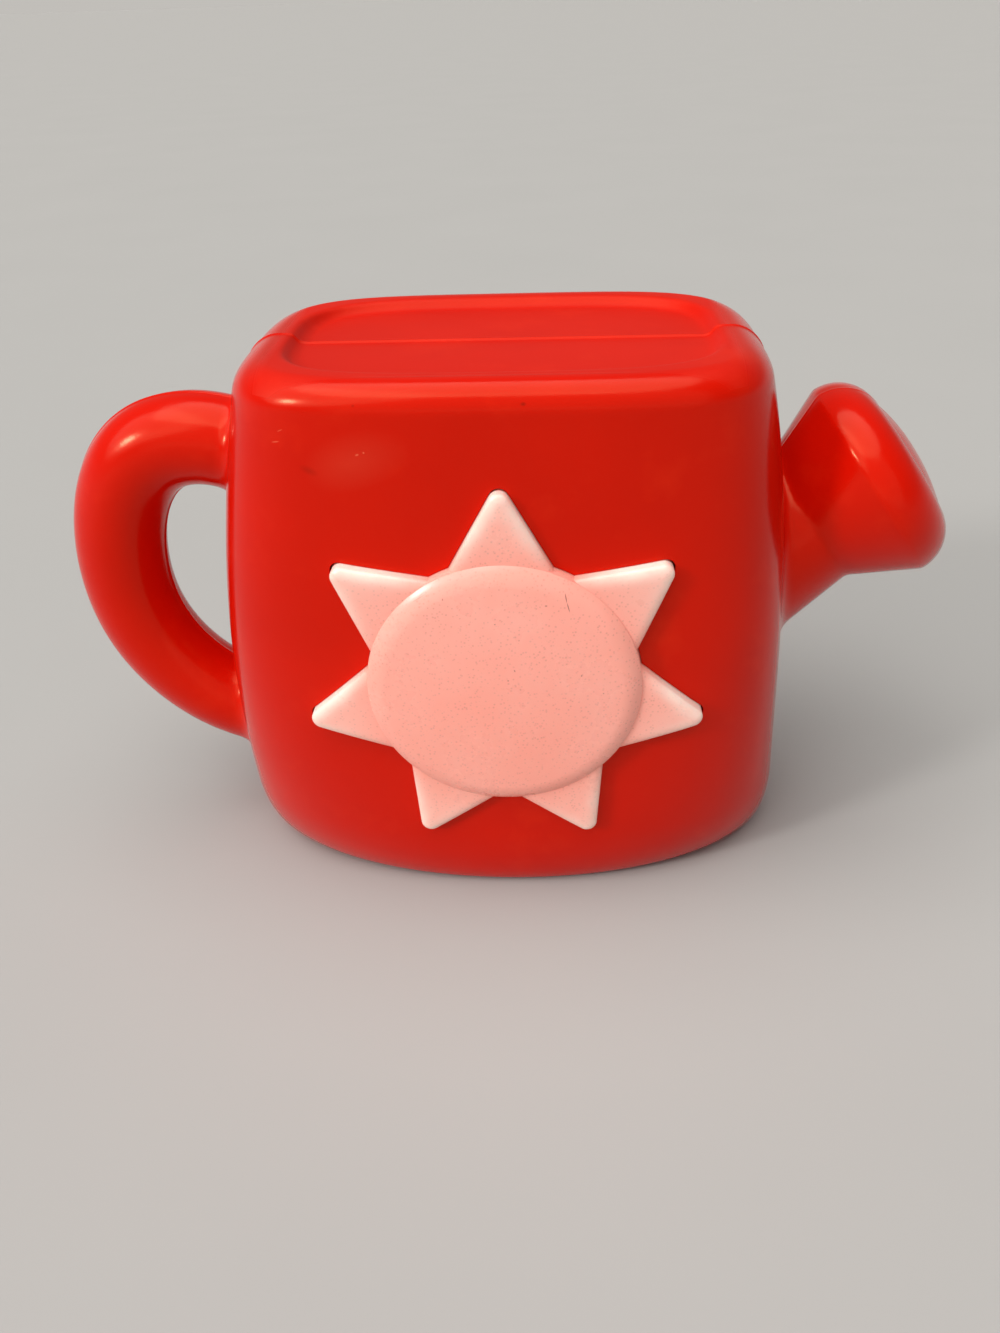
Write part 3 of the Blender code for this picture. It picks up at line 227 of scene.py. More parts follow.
def box(name: str, low: Point, high: Point) -> Piece:
    """Box between two corners, as two rings of four points.

    Args:
        name: object name.
        low: lowest corner.
        high: highest corner.

    Returns:
        The box.
    """
    x = np.array([low[0], high[0], high[0], low[0]])
    y = np.array([low[1], low[1], high[1], high[1]])
    rows = np.stack([np.column_stack((x, y, np.full(4, z))) for z in (low[2], high[2])])
    return solid_of_rows(name, rows)


def turned_rows(profile: list[Place], frame: Matrix, steps: int) -> np.ndarray:
    """Rings of a profile carried round an axis.

    With r and h along the profile, a point is x = r cos a, y = r sin a and z = h, placed by the frame.

    Args:
        profile: (radius, height) points along the axis.
        frame: place and turn of the axis, which is the frame's own Z.
        steps: points round.

    Returns:
        Rings as rows x steps x 3.
    """
    shape = np.array(profile, float)
    angle = np.linspace(0, 2 * math.pi, steps, endpoint=False)
    x = shape[:, :1] * np.cos(angle)
    y = shape[:, :1] * np.sin(angle)
    z = np.repeat(shape[:, 1:], steps, axis=1)
    place = np.array(frame)
    return np.stack((x, y, z), -1) @ place[:3, :3].T + place[:3, 3]


def rod(name: str, x: float, z: float, radius: float, first: float, last: float, steps: int = 32) -> Piece:
    """Round rod along Y, turned from a profile of two points.

    Args:
        name: object name.
        x: place of the axis across.
        z: height of the axis.
        radius: radius of the rod.
        first: depth of the end at the front.
        last: depth of the end at the back.
        steps: points round.

    Returns:
        The rod.
    """
    frame = Matrix.Translation((x, 0, z)) @ ALONG_Y
    return solid_of_rows(name, turned_rows([(radius, first), (radius, last)], frame, steps))


def solve(target: Piece, *steps: Step) -> Piece:
    """Works solids into a target one after the other, and removes them.

    Args:
        target: the solid that is kept.
        steps: pairs of a way and a solid.

    Returns:
        The target with its new mesh.
    """
    for way, other in steps:
        modifier = target.modifiers.new(other.name, "BOOLEAN")
        modifier.operation = way.value
        modifier.solver = "MANIFOLD"
        modifier.object = other
    bpy.context.view_layer.update()
    graph = bpy.context.evaluated_depsgraph_get()
    mesh = bpy.data.meshes.new_from_object(target.evaluated_get(graph))
    target.modifiers.clear()
    close_up(mesh)
    old = target.data
    target.data = mesh
    bpy.data.meshes.remove(old)
    mesh.name = target.name
    for _, other in steps:
        bpy.data.objects.remove(other, do_unlink=True)
    return target


def close_up(mesh: bpy.types.Mesh) -> None:
    """Splits the many-sided faces that a cut leaves, and closes up edges and faces without length or area.

    Args:
        mesh: the cut mesh.
    """
    work = bmesh.new()
    work.from_mesh(mesh)
    bmesh.ops.triangulate(work, faces=[face for face in work.faces if len(face.verts) > 4])
    bmesh.ops.dissolve_degenerate(work, dist=SHORT_EDGE, edges=work.edges)
    work.to_mesh(mesh)
    work.free()


def smooth_shading(piece: Piece) -> Piece:
    """Shades a piece smooth, with its sharper edges kept.

    Args:
        piece: the piece.

    Returns:
        The same piece.
    """
    piece.data.shade_smooth()
    piece.data.set_sharp_from_angle(angle=SHARP_ANGLE)
    return piece


def points_of(mesh: bpy.types.Mesh) -> np.ndarray:
    """The vertices of a mesh.

    Args:
        mesh: the mesh.

    Returns:
        Places as points x 3.
    """
    points = np.empty(len(mesh.vertices) * 3)
    mesh.vertices.foreach_get("co", points)
    return points.reshape(-1, 3)


def smooth_path(knots: tuple[Place, ...], count: int) -> np.ndarray:
    """Natural cubic spline through knots, by chord length: each span blends its ends and their bends.

    Args:
        knots: points to pass through.
        count: number of points wanted.

    Returns:
        Points along the curve.
    """
    knots = np.array(knots, float)
    stops = np.concatenate(([0], np.cumsum(np.linalg.norm(np.diff(knots, axis=0), axis=1))))
    step = np.diff(stops)
    size = len(knots)
    system = np.eye(size)
    right = np.zeros_like(knots)
    for i in range(1, size - 1):
        system[i, i - 1 : i + 2] = step[i - 1], 2 * (step[i - 1] + step[i]), step[i]
        slope = np.diff(knots[i - 1 : i + 2], axis=0) / step[i - 1 : i + 1, None]
        right[i] = 6 * (slope[1] - slope[0])
    bend = np.linalg.solve(system, right)
    spots = np.linspace(0, stops[-1], count)
    span = np.clip(np.searchsorted(stops, spots, side="right") - 1, 0, size - 2)
    width = step[span][:, None]
    ahead = (stops[span + 1] - spots)[:, None] / width
    back = 1 - ahead
    curl = (ahead**3 - ahead) * bend[span] + (back**3 - back) * bend[span + 1]
    return ahead * knots[span] + back * knots[span + 1] + curl * width**2 / 6


# Fields: negative inside, about the distance in metres near the skin


def soft_least(a: np.ndarray, b: np.ndarray, reach: float) -> np.ndarray:
    """Union of two fields with a fillet: the lesser, lowered where they differ by less than a reach."""
    near = np.maximum(reach - np.abs(a - b), 0) / reach
    return np.minimum(a, b) - near**2 * reach / 4


def soft_most(a: np.ndarray, b: np.ndarray, reach: float) -> np.ndarray:
    """Overlap of two fields with a softened edge."""
    return -soft_least(-a, -b, reach)


def quarter_round(u: np.ndarray, v: np.ndarray, radius: float) -> np.ndarray:
    """Distance from a quarter circle round the place where u and v are 0, and from its straight ends."""
    return np.minimum(np.maximum(u, v), 0) + np.hypot(np.maximum(u, 0), np.maximum(v, 0)) - radius


def round_edge(a: np.ndarray, b: np.ndarray, radius: float) -> np.ndarray:
    """Overlap of two fields whose edge is a round of a radius."""
    return quarter_round(a + radius, b + radius, radius)


def skin_net(axes: tuple[np.ndarray, ...], values: np.ndarray) -> tuple[np.ndarray, np.ndarray]:
    """Net over the zero level of a sampled field.

    Each cell that the level crosses has one point, the mean of the crossings on its edges. Each crossed
    edge of the grid has one face, which joins the points of the four cells round it.

    Args:
        axes: sample places along X, Y and Z.
        values: field values on that grid.

    Returns:
        Points and four-cornered faces.
    """
    inside = values < 0
    shape = tuple(n - 1 for n in values.shape)
    corners = [np.array((i, j, k)) for i in (0, 1) for j in (0, 1) for k in (0, 1)]
    windows = [tuple(slice(a, a + n) for a, n in zip(corner, shape)) for corner in corners]
    count = sum(inside[window].astype(np.int8) for window in windows)
    cell = np.argwhere((count > 0) & (count < len(corners)))
    number = np.full(shape, -1, np.int64)
    number[tuple(cell.T)] = np.arange(len(cell))
    total = np.zeros((len(cell), 3))
    hits = np.zeros(len(cell))
    for axis in range(3):
        for start in (corner for corner in corners if corner[axis] == 0):
            first, second = cell + start, cell + start + np.eye(3, dtype=int)[axis]
            low, high = values[tuple(first.T)], values[tuple(second.T)]
            crossed = (low < 0) != (high < 0)
            share = np.where(crossed, low / np.where(crossed, low - high, 1), 0)
            low_spot = np.stack([axes[k][first[:, k]] for k in range(3)], 1)
            high_spot = np.stack([axes[k][second[:, k]] for k in range(3)], 1)
            total += crossed[:, None] * (low_spot + share[:, None] * (high_spot - low_spot))
            hits += crossed
    faces = [net_faces(inside, number, axis) for axis in range(3)]
    return total / hits[:, None], np.concatenate(faces)


def net_faces(inside: np.ndarray, number: np.ndarray, axis: int) -> np.ndarray:
    """Faces of the net across the crossed edges of a grid along one axis.

    Args:
        inside: which samples lie inside.
        number: number of each cell's point.
        axis: direction of the edges.

    Returns:
        Four corner numbers a face, turned outwards.
    """
    u, v = (axis + 1) % 3, (axis + 2) % 3
    ahead = [slice(None)] * 3
    ahead[axis] = slice(1, None)
    behind = [slice(None)] * 3
    behind[axis] = slice(None, -1)
    edge = np.argwhere(inside[tuple(behind)] != inside[tuple(ahead)])
    around = []
    for back_u, back_v in ((1, 1), (0, 1), (0, 0), (1, 0)):
        spot = edge.copy()
        spot[:, u] -= back_u
        spot[:, v] -= back_v
        around.append(number[tuple(spot.T)])
    quad = np.stack(around, 1)
    outwards = inside[tuple(edge.T)]
    return np.where(outwards[:, None], quad, quad[:, ::-1])


def relax(points: np.ndarray, edges: np.ndarray) -> np.ndarray:
    """Moves each point half way to the mean of its neighbours.

    Args:
        points: points of a net.
        edges: pairs of joined points, each pair both ways.

    Returns:
        The moved points.
    """
    count = np.bincount(edges[:, 0], minlength=len(points))
    sums = np.stack([np.bincount(edges[:, 0], points[edges[:, 1], k], len(points)) for k in range(3)], 1)
    return 0.5 * points + 0.5 * sums / count[:, None]


# Can


@dataclass
class CanForm:
    """Outer form of the can: body, handle, spout and rose as one smooth field."""

    # Body and the recess in its top
    height: float = 112.6 * MM
    half_depth: float = 34.5 * MM
    half_widths: tuple[float, ...] = (61.5 * MM, 58.0 * MM, 55.2 * MM, 48.8 * MM)
    handle_side_swell: float = 2.2 * MM
    swell_lift: float = 0.8
    squareness: tuple[float, ...] = (2.0, 3.8, 3.7)
    base_fillet: Pair = (5.0 * MM, 16.0 * MM)
    top_fillet: float = 5.5 * MM
    rim_width: float = 9.4 * MM
    recess_depth: float = 1.9 * MM
    recess_edge: float = 2.2 * MM
    wall: float = 2.5 * MM
    # Handle
    handle_radius: float = 9.7 * MM
    handle_knots: tuple[Place, ...] = (
        (-45.5 * MM, 86.0 * MM),
        (-63.1 * MM, 91.9 * MM),
        (-71.6 * MM, 90.1 * MM),
        (-84.0 * MM, 63.5 * MM),
        (-79.9 * MM, 45.1 * MM),
        (-66.5 * MM, 30.7 * MM),
        (-50.6 * MM, 24.9 * MM),
    )
    handle_steps: int = 160
    handle_fillet: float = 4.0 * MM
    handle_zone: float = -40.0 * MM
    # Spout and rose
    rose_middle: Place = (80.6 * MM, 86.1 * MM)
    rose_rise: float = math.radians(34.9)
    rose_radius: float = 21.4 * MM
    rose_round: float = 9.0 * MM
    rose_dome: float = 1.7 * MM
    bell_length: float = 22.1 * MM
    neck_radius: float = 15.0 * MM
    spout_length: float = 22.0 * MM
    spout_radius: float = 18.5 * MM
    spout_fillet: float = 2.4 * MM
    spout_zone: float = 30.0 * MM
    side_margins: Pair = (8.0 * MM, 12.0 * MM)
    side_samples: int = 400
    side_smoothing: int = 17
    # Bead along the seam
    bead_height: float = 0.24 * MM
    bead_width: float = 0.45 * MM
    bead_rise: float = 12.0 * MM
    spout_bead: float = 0.25
    spout_bead_start: float = 52.0 * MM
    spout_bead_fade: float = 8.0 * MM
    recess_bead: float = 0.8
    recess_bead_fade: float = 3.0 * MM
    # Sampling of the skin and its slope
    step: float = 0.8 * MM
    seam_samples: tuple[float, ...] = (0.12, 0.26, 0.42, 0.62, 0.9, 1.3, 1.8, 2.4)
    net_reach: Pair = (-98.0 * MM, 95.0 * MM)
    net_bottom: float = -2.3 * MM
    net_margin: float = 3.0 * MM
    slope_reach: float = 0.04 * MM
    skin_reach: float = 0.05 * MM
    skin_agreement: float = 0.75
    # Rows of the cavity
    cavity_columns: int = 96
    cavity_bend_rows: int = 9
    cavity_side_rows: int = 24
    # Rounds that even out the net
    even_rounds: int = 3
    settle_rounds: int = 3
    # Limits on shares, offsets and slopes
    widest_share: float = 0.999
    least_share: float = 1e-6
    least_offset: float = 0.1 * MM
    least_slope: float = 5.0
    least_square: float = 0.02
    # Curves that the sizes give
    handle_path: np.ndarray = field(init=False)
    side_heights: np.ndarray = field(init=False)
    side_radii: np.ndarray = field(init=False)

    def __post_init__(self) -> None:
        """Works out the curves that the sizes give."""
        self.handle_path = smooth_path(self.handle_knots, self.handle_steps)
        back = -self.bell_length - self.spout_length
        heights = np.linspace(back - self.side_margins[0], self.side_margins[1], self.side_samples)
        knots = (back, -self.bell_length, -self.rose_round, 0.0)
        radii = (self.spout_radius, self.neck_radius, self.rose_radius, self.rose_radius)
        sharp = np.interp(heights, knots, radii)
        window = np.hanning(self.side_smoothing)
        padded = np.pad(sharp, self.side_smoothing // 2, mode="edge")
        self.side_heights = heights
        self.side_radii = np.convolve(padded, window / window.sum(), mode="valid")

    def half_width(self, x: np.ndarray, z: np.ndarray) -> np.ndarray:
        """Half width at a height: a cubic through four widths, swelled by a squared sine by the handle.

        Args:
            x: places across, of which only the sign matters.
            z: heights.

        Returns:
            Half widths.
        """
        stops = np.linspace(0, self.height, len(self.half_widths))
        plain = np.polyval(np.polyfit(stops, self.half_widths, len(self.half_widths) - 1), z)
        swell = np.sin(math.pi * np.clip(z / self.height, 0, 1) ** self.swell_lift) ** 2
        return plain + np.where(x < 0, self.handle_side_swell, 0.0) * swell

    def power(self, z: np.ndarray) -> np.ndarray:
        """Exponent of the level section's oval at a height: a quadratic through three values."""
        stops = np.linspace(0, self.height, len(self.squareness))
        return np.polyval(np.polyfit(stops, self.squareness, len(self.squareness) - 1), z)

    def plan_field(self, x: np.ndarray, y: np.ndarray, z: np.ndarray, inset: float) -> np.ndarray:
        """Distance in the level plane from the oval |x/w|^n + |y/d|^n = 1, to first order.

        Args:
            x: places across.
            y: places in depth.
            z: heights.
            inset: how far the oval is drawn in.

        Returns:
            Field values.
        """
        power = self.power(z)
        across = (np.abs(x) / (self.half_width(x, z) - inset) + self.least_share) ** power
        along = (np.abs(y) / (self.half_depth - inset) + self.least_share) ** power
        total = across + along
        level = total ** (1 / power)
        slope_x = level * across / total / np.maximum(np.abs(x), self.least_offset)
        slope_y = level * along / total / np.maximum(np.abs(y), self.least_offset)
        return (level - 1) / np.maximum(np.hypot(slope_x, slope_y), self.least_slope)

    def body_field(self, x: np.ndarray, y: np.ndarray, z: np.ndarray) -> np.ndarray:
        """Body: the oval's side, with a rounded top edge, a drawn-in base and a shallow recess in the top.

        Args:
            x: places across.
            y: places in depth.
            z: heights.

        Returns:
            Field values.
        """
        side = self.plan_field(x, y, z, 0.0)
        body = round_edge(side, z - self.height, self.top_fillet)
        wide, tall = self.base_fillet
        base = quarter_round(side + wide, (tall - z) * wide / tall, wide)
        floor = self.height - self.recess_depth - z
        recess = soft_most(self.plan_field(x, y, z, self.rim_width), floor, self.recess_edge)
        return soft_most(np.maximum(body, base), -recess, self.recess_edge)

    def handle_field(self, x: np.ndarray, y: np.ndarray, z: np.ndarray) -> np.ndarray:
        """Distance from the handle's path, which lies in the middle plane, less the tube's radius.

        Args:
            x: places across.
            y: places in depth.
            z: heights.

        Returns:
            Field values.
        """
        flat = np.full(np.broadcast_shapes(np.shape(x), np.shape(z)), 1.0)
        for (ax, az), (bx, bz) in zip(self.handle_path, self.handle_path[1:]):
            long_x, long_z = bx - ax, bz - az
            share = np.clip(((x - ax) * long_x + (z - az) * long_z) / (long_x**2 + long_z**2), 0, 1)
            flat = np.minimum(flat, (x - ax - share * long_x) ** 2 + (z - az - share * long_z) ** 2)
        return np.sqrt(flat + y**2) - self.handle_radius

    def rose_field(self, x: np.ndarray, y: np.ndarray, z: np.ndarray) -> np.ndarray:
        """Spout and rose turned about their slanting axis: radius by a smoothed table, face by a low dome.

        Args:
            x: places across.
            y: places in depth.
            z: heights.

        Returns:
            Field values.
        """
        cosine, sine = math.cos(self.rose_rise), math.sin(self.rose_rise)
        away_x, away_z = x - self.rose_middle[0], z - self.rose_middle[1]
        along = away_x * cosine + away_z * sine
        radius = np.hypot(away_z * cosine - away_x * sine, y)
        side = radius - np.interp(along, self.side_heights, self.side_radii)
        flat = self.rose_radius - self.rose_round
        face = along - self.rose_dome * (1 - np.minimum(radius / flat, 1) ** 2)
        back = -self.bell_length - self.spout_length - along
        return np.maximum(round_edge(side, face, self.rose_round), back)

    def whole(self, x: np.ndarray, y: np.ndarray, z: np.ndarray) -> np.ndarray:
        """The can's outer skin, with the fine bead that the two halves leave along the middle plane.

        Args:
            x: places across, either a list of points or the first axis of a grid.
            y: places in depth.
            z: heights.

        Returns:
            Field values.
        """
        can = self.body_field(x, y, z)
        for near, other, fillet in (
            (x < self.handle_zone, self.handle_field, self.handle_fillet),
            (x > self.spout_zone, self.rose_field, self.spout_fillet),
        ):
            rows = near.reshape(len(near), -1)[:, 0]
            spot = [axis[rows] if len(axis) == len(rows) else axis for axis in (x, y, z)]
            can[rows] = soft_least(can[rows], other(*spot), fillet)
        strength = np.clip(z / self.bead_rise, 0, 1)
        on_spout = np.clip((x - self.spout_bead_start) / self.spout_bead_fade, 0, 1)
        faint = 1 - (1 - self.spout_bead) * on_spout
        recess_half = self.half_widths[-1] - self.rim_width
        recess = np.clip((recess_half - np.abs(x)) / self.recess_bead_fade, 0, 1)
        raised = 1 + self.recess_bead * recess * (z > self.height - 2 * self.top_fillet)
        bead = np.exp(-((y / self.bead_width) ** 2)) * strength * faint * raised
        return can + self.bead_height * (strength - bead)

    def slope(self, points: np.ndarray) -> np.ndarray:
        """The skin's slope by central differences, which points outwards.

        Args:
            points: places near the skin.

        Returns:
            Slope vectors, not made unit.
        """
        reach = self.slope_reach
        slope = np.zeros_like(points)
        for axis in range(3):
            ahead, back = points.copy(), points.copy()
            ahead[:, axis] += reach
            back[:, axis] -= reach
            slope[:, axis] = (self.whole(*ahead.T) - self.whole(*back.T)) / (2 * reach)
        return slope

    def settle(self, points: np.ndarray, rounds: int) -> np.ndarray:
        """Moves points along the slope on to the skin, a full step of the field's value each round.

        Args:
            points: places near the skin.
            rounds: number of steps.

        Returns:
            The moved points.
        """
        for _ in range(rounds):
            slope = self.slope(points)
            value = self.whole(*points.T)
            points = points - (value / np.maximum((slope**2).sum(1), self.least_square))[:, None] * slope
        return points

    def true_normals(self, piece: Piece) -> None:
        """Gives the corners of a piece that lie on the skin the skin's own normals; the others keep theirs.

        Args:
            piece: a shell cut from the skin.
        """
        mesh = piece.data
        points = points_of(mesh)
        on_skin = np.abs(self.whole(*points.T)) < self.skin_reach
        slope = self.slope(points)
        slope /= np.maximum(np.linalg.norm(slope, axis=1, keepdims=True), TINY)
        corner = np.empty(len(mesh.loops), np.int32)
        mesh.loops.foreach_get("vertex_index", corner)
        sizes = np.empty(len(mesh.polygons), np.int32)
        mesh.polygons.foreach_get("loop_total", sizes)
        flat = np.empty(len(mesh.polygons) * 3)
        mesh.polygons.foreach_get("normal", flat)
        flat = np.repeat(flat.reshape(-1, 3), sizes, axis=0)
        agrees = (flat * slope[corner]).sum(1) > self.skin_agreement
        normals = np.where((on_skin[corner] & agrees)[:, None], slope[corner], 0.0)
        mesh.normals_split_custom_set(normals.tolist())

    def depth(self, x: np.ndarray, z: np.ndarray, proud: float = 0.0) -> np.ndarray:
        """Distance of the front or back face from the middle plane at a place on it: d (1 - |x/w|^n)^(1/n).

        Args:
            x: places across.
            z: heights.
            proud: how far the face is swelled outwards.

        Returns:
            Depths.
        """
        power = self.power(z)
        share = np.minimum(np.abs(x) / (self.half_width(x, z) + proud), self.widest_share)
        return (self.half_depth + proud) * (1 - share**power) ** (1 / power)

    def cavity_rows(self) -> np.ndarray:
        """Rings of the hollow inside the body: level ovals drawn in by the wall and rounded at both ends.

        Returns:
            Rings as rows x columns x 3.
        """
        wide, tall = self.base_fillet
        ceiling = self.height - self.recess_depth - self.wall
        turn = np.linspace(0, QUARTER, self.cavity_bend_rows)
        low = self.wall + (tall - self.wall) * (1 - np.cos(turn))
        low_inset = wide * (1 - np.sin(turn))
        radius = self.top_fillet - self.wall
        high = ceiling - radius * (1 - np.cos(turn[::-1]))
        high_inset = radius * (1 - np.sin(turn[::-1]))
        middle = np.linspace(low[-1], high[0], self.cavity_side_rows)[1:-1]
        heights = np.concatenate((low, middle, high))
        inset = self.wall + np.concatenate((low_inset, np.zeros_like(middle), high_inset))
        return self.ovals(heights, inset)

    def ovals(self, heights: np.ndarray, inset: np.ndarray) -> np.ndarray:
        """Level ovals: x = w cos^(2/n), y = d sin^(2/n), signs kept.

        Args:
            heights: height of each ring.
            inset: how far each ring is drawn in.

        Returns:
            Rings as rows x columns x 3.
        """
        angle = np.linspace(0, 2 * math.pi, self.cavity_columns, endpoint=False)[None]
        share = (2 / self.power(heights))[:, None]
        across = np.sign(np.cos(angle)) * np.abs(np.cos(angle)) ** share
        along = np.sign(np.sin(angle)) * np.abs(np.sin(angle)) ** share
        x = (self.half_width(across, heights[:, None]) - inset[:, None]) * across
        y = (self.half_depth - inset)[:, None] * along
        return np.stack((x, y, np.broadcast_to(heights[:, None], x.shape)), -1)

    def spacing(self) -> tuple[np.ndarray, np.ndarray, np.ndarray]:
        """Sample places of the net; across the seam they crowd towards the middle plane.

        Returns:
            Places along X, Y and Z.
        """
        near = np.array(self.seam_samples) * MM
        far = np.arange(near[-1] + self.step, self.half_depth + self.net_margin, self.step)
        half = np.concatenate((near, far))
        x = np.arange(*self.net_reach, self.step)
        z = np.arange(self.net_bottom, self.height + self.net_margin, self.step)
        return x, np.concatenate((-half[::-1], [0.0], half)), z

    def skin(self, name: str) -> Piece:
        """Closed skin of the whole form: the field's net, evened out and settled on the field.

        Args:
            name: object name.

        Returns:
            The skin's object.
        """
        axes = self.spacing()
        x, y, z = axes[0][:, None, None], axes[1][None, :, None], axes[2][None, None, :]
        points, quads = skin_net(axes, self.whole(x, y, z))
        edges = np.concatenate((quads[:, :2], quads[:, 1:3], quads[:, 2:], quads[:, [3, 0]]))
        for _ in range(self.even_rounds):
            points = self.settle(relax(points, edges), 1)
        points = self.settle(points, self.settle_rounds)
        return add_object(name, points, quads)


# Sun


@dataclass
class SunForm:
    """Seven-rayed sun: its outline, its bowed rays and its domed disc."""

    form: CanForm
    # Outline
    height: float = 54.3 * MM
    rays: int = 7
    tip_radius: float = 39.4 * MM
    tip_round: float = 2.0 * MM
    least_round: float = 0.15 * MM
    half_angle: float = math.radians(29.3)
    valley_radius: float = 26.3 * MM
    # Disc, rays and wall
    disc_radius: float = 26.2 * MM
    star_proud: float = 2.2 * MM
    disc_proud: float = 2.6 * MM
    disc_crown: float = 0.85 * MM
    disc_shoulder: float = 4.0 * MM
    disc_root: float = 4.0 * MM
    disc_hub: float = 0.06
    edge_width: float = 2.3 * MM
    edge_depth: float = 1.1 * MM
    flatness: float = 0.3
    hub: float = 0.05
    wall: float = 1.7 * MM
    # Flange, plunger and spring seats
    flange_lap: float = 2.8 * MM
    flange_front: float = -28.05 * MM
    flange_back: float = -26.25 * MM
    plunger_radius: float = 3.0 * MM
    plunger_end: float = -20.45 * MM
    spring_circle: float = 17.0 * MM
    spring_seat: float = -33.5 * MM
    seat_radius: float = 4.4 * MM
    spigot_radius: float = 1.9 * MM
    spigot_end: float = -30.9 * MM
    # Opening in the front wall
    opening_gap: float = 0.12 * MM
    opening_tip: float = 1.85 * MM
    opening_round: float = 0.3 * MM
    opening_dimple: float = 0.85 * MM
    opening_cut: Pair = (-6.0 * MM, 7.0 * MM)
    # Paler ray edges and tips: rubbing at the edges and tips, a painted highlight on the edges that face
    # up, and rays paler towards their tips
    worn_and_lit_band: float = 3.6 * MM
    worn_and_lit_power: float = 1.5
    worn_and_lit_rise: float = 2.5
    # Direction in the sun's plane that the edges with the painted highlight face
    sheen_side: float = math.radians(78)
    worn_and_lit_least: float = 0.25
    paler_tips: float = 0.36
    # Rows and steps
    tip_steps: int = 13
    edge_steps: int = 22
    valley_steps: int = 9
    face_rows: int = 26
    round_rows: int = 9
    side_rows: int = 4
    roof_rows: int = 12
    crown_rows: int = 12
    shoulder_rows: int = 14
    opening_rows: int = 7
    disc_steps: int = 180
    well_steps: int = 64
    spigot_steps: int = 20

    def outline(self, offset: np.ndarray | Pair | float, tip: np.ndarray | None = None) -> np.ndarray:
        """The sun's outline grown by offsets: straight ray edges tangent to round tips, with arcs between.

        Args:
            offset: growth of each row.
            tip: round of each row's tips, if it isn't the sun's own grown by the offset.

        Returns:
            (x, height) points about the sun's middle, as rows x points x 2.
        """
        offset = np.atleast_1d(np.asarray(offset, float))[:, None]
        sine = math.sin(self.half_angle)
        edge = self.edge_line() + offset
        tip_round = np.maximum(self.tip_round + offset if tip is None else tip[:, None], self.least_round)
        tip_middle = (edge - tip_round) / sine
        circle = self.valley_radius + offset
        corner = np.arcsin(edge / circle) - self.half_angle
        sweep = QUARTER - self.half_angle
        turn = np.linspace(-sweep, sweep, self.tip_steps)[None]
        tip = np.stack((tip_middle + tip_round * np.cos(turn), tip_round * np.sin(turn)), -1)
        low = np.stack((circle * np.cos(corner), -circle * np.sin(corner)), -1)
        high = low * (1, -1)
        share = np.linspace(0, 1, self.edge_steps)[None, :, None]
        right = low + share[:, :-1] * (tip[:, :1] - low)
        left = tip[:, -1:] + share[:, 1:] * (high - tip[:, -1:])
        gap = np.linspace(0, 1, self.valley_steps)[None, 1:-1]
        between = corner + gap * (2 * math.pi / self.rays - 2 * corner)
        valley = np.stack((circle * np.cos(between), circle * np.sin(between)), -1)
        ray = np.concatenate((right, tip, left, valley), 1)
        along, across = ray[:, None, :, 0], ray[:, None, :, 1]
        axis = (QUARTER + 2 * math.pi * np.arange(self.rays) / self.rays)[None, :, None]
        turned_x = along * np.cos(axis) - across * np.sin(axis)
        turned_z = along * np.sin(axis) + across * np.cos(axis)
        return np.stack((turned_x, turned_z), -1).reshape(len(offset), -1, 2)

    def edge_line(self) -> float:
        """Distance of a ray's straight edge from the sun's middle, square to the edge."""
        return (self.tip_radius - self.tip_round) * math.sin(self.half_angle) + self.tip_round

    def face(self, flat: np.ndarray, proud: float, flatness: float = 0.0) -> np.ndarray:
        """Depth of a face that follows the bowed front wall, or follows it less.

        Args:
            flat: (x, height) places about the sun's middle.
            proud: how far the face stands out from the wall.
            flatness: share of a flat face in it.

        Returns:
            Depths.
        """
        bowed = -self.form.depth(flat[..., 0], flat[..., 1] + self.height, proud)
        return bowed + flatness * (-self.form.half_depth - proud - bowed)

    def rows(self, flat: np.ndarray, depth: np.ndarray) -> np.ndarray:
        """Points in the row frame from (x, height) places and depths."""
        depth = np.broadcast_to(depth, flat.shape[:-1])
        return np.stack((flat[..., 0], depth, flat[..., 1] + self.height), -1)

    def build(self, name: str) -> Piece:
        """The whole button: star plate with rounded edges, disc, flange, plunger and spring seats.

        The plate's skin is the outline carried out from a small hub over the face, round the edge, down the
        side, round the flange and back in under the face.

        Args:
            name: object name.

        Returns:
            The sun, with how pale its ray edges and tips are written on it, partly rubbing and partly
            painted highlight.
        """
        turn = np.linspace(0, QUARTER, self.round_rows)[1:]
        share = np.linspace(self.hub, 1, self.face_rows)[:, None, None]
        top_flat = share * self.outline(-self.edge_width)
        top = self.rows(top_flat, self.face(top_flat, self.star_proud, self.flatness))
        round_flat = self.outline(-self.edge_width * (1 - np.sin(turn)))
        sunk = (self.edge_depth * (1 - np.cos(turn)))[:, None]
        rounded = self.rows(round_flat, self.face(round_flat, self.star_proud, self.flatness) + sunk)
        side_flat = self.outline(np.zeros(self.side_rows))
        level = np.linspace(0, 1, self.side_rows + 1)[1:, None]
        start = rounded[-1, :, 1][None]
        side = self.rows(side_flat, start + level * (self.flange_front - start))
        flange_flat = self.outline((self.flange_lap, self.flange_lap))
        flange = self.rows(flange_flat, np.array([[self.flange_front], [self.flange_back]]))
        inner_flat = self.outline((-self.wall, -self.wall))
        roof = self.face(inner_flat[0], self.star_proud - self.wall)
        inner = self.rows(inner_flat, np.stack((np.full_like(roof, self.flange_back), roof)))
        inwards = np.linspace(1, self.hub, self.roof_rows)[1:, None, None]
        roof_flat = inwards * self.outline(-self.wall)
        under = self.rows(roof_flat, self.face(roof_flat, self.star_proud - self.wall))
        made = solid_of_rows(name, np.concatenate((top, rounded, side, flange, inner, under)))
        solve(made, (Solve.JOIN, self.disc()), (Solve.CUT, self.well()), *self.posts())
        smooth_shading(made)
        # Paler ray edges and tips: rubbing, with a painted highlight on the edges that face up
        self.wear_and_sheen(made)
        return made

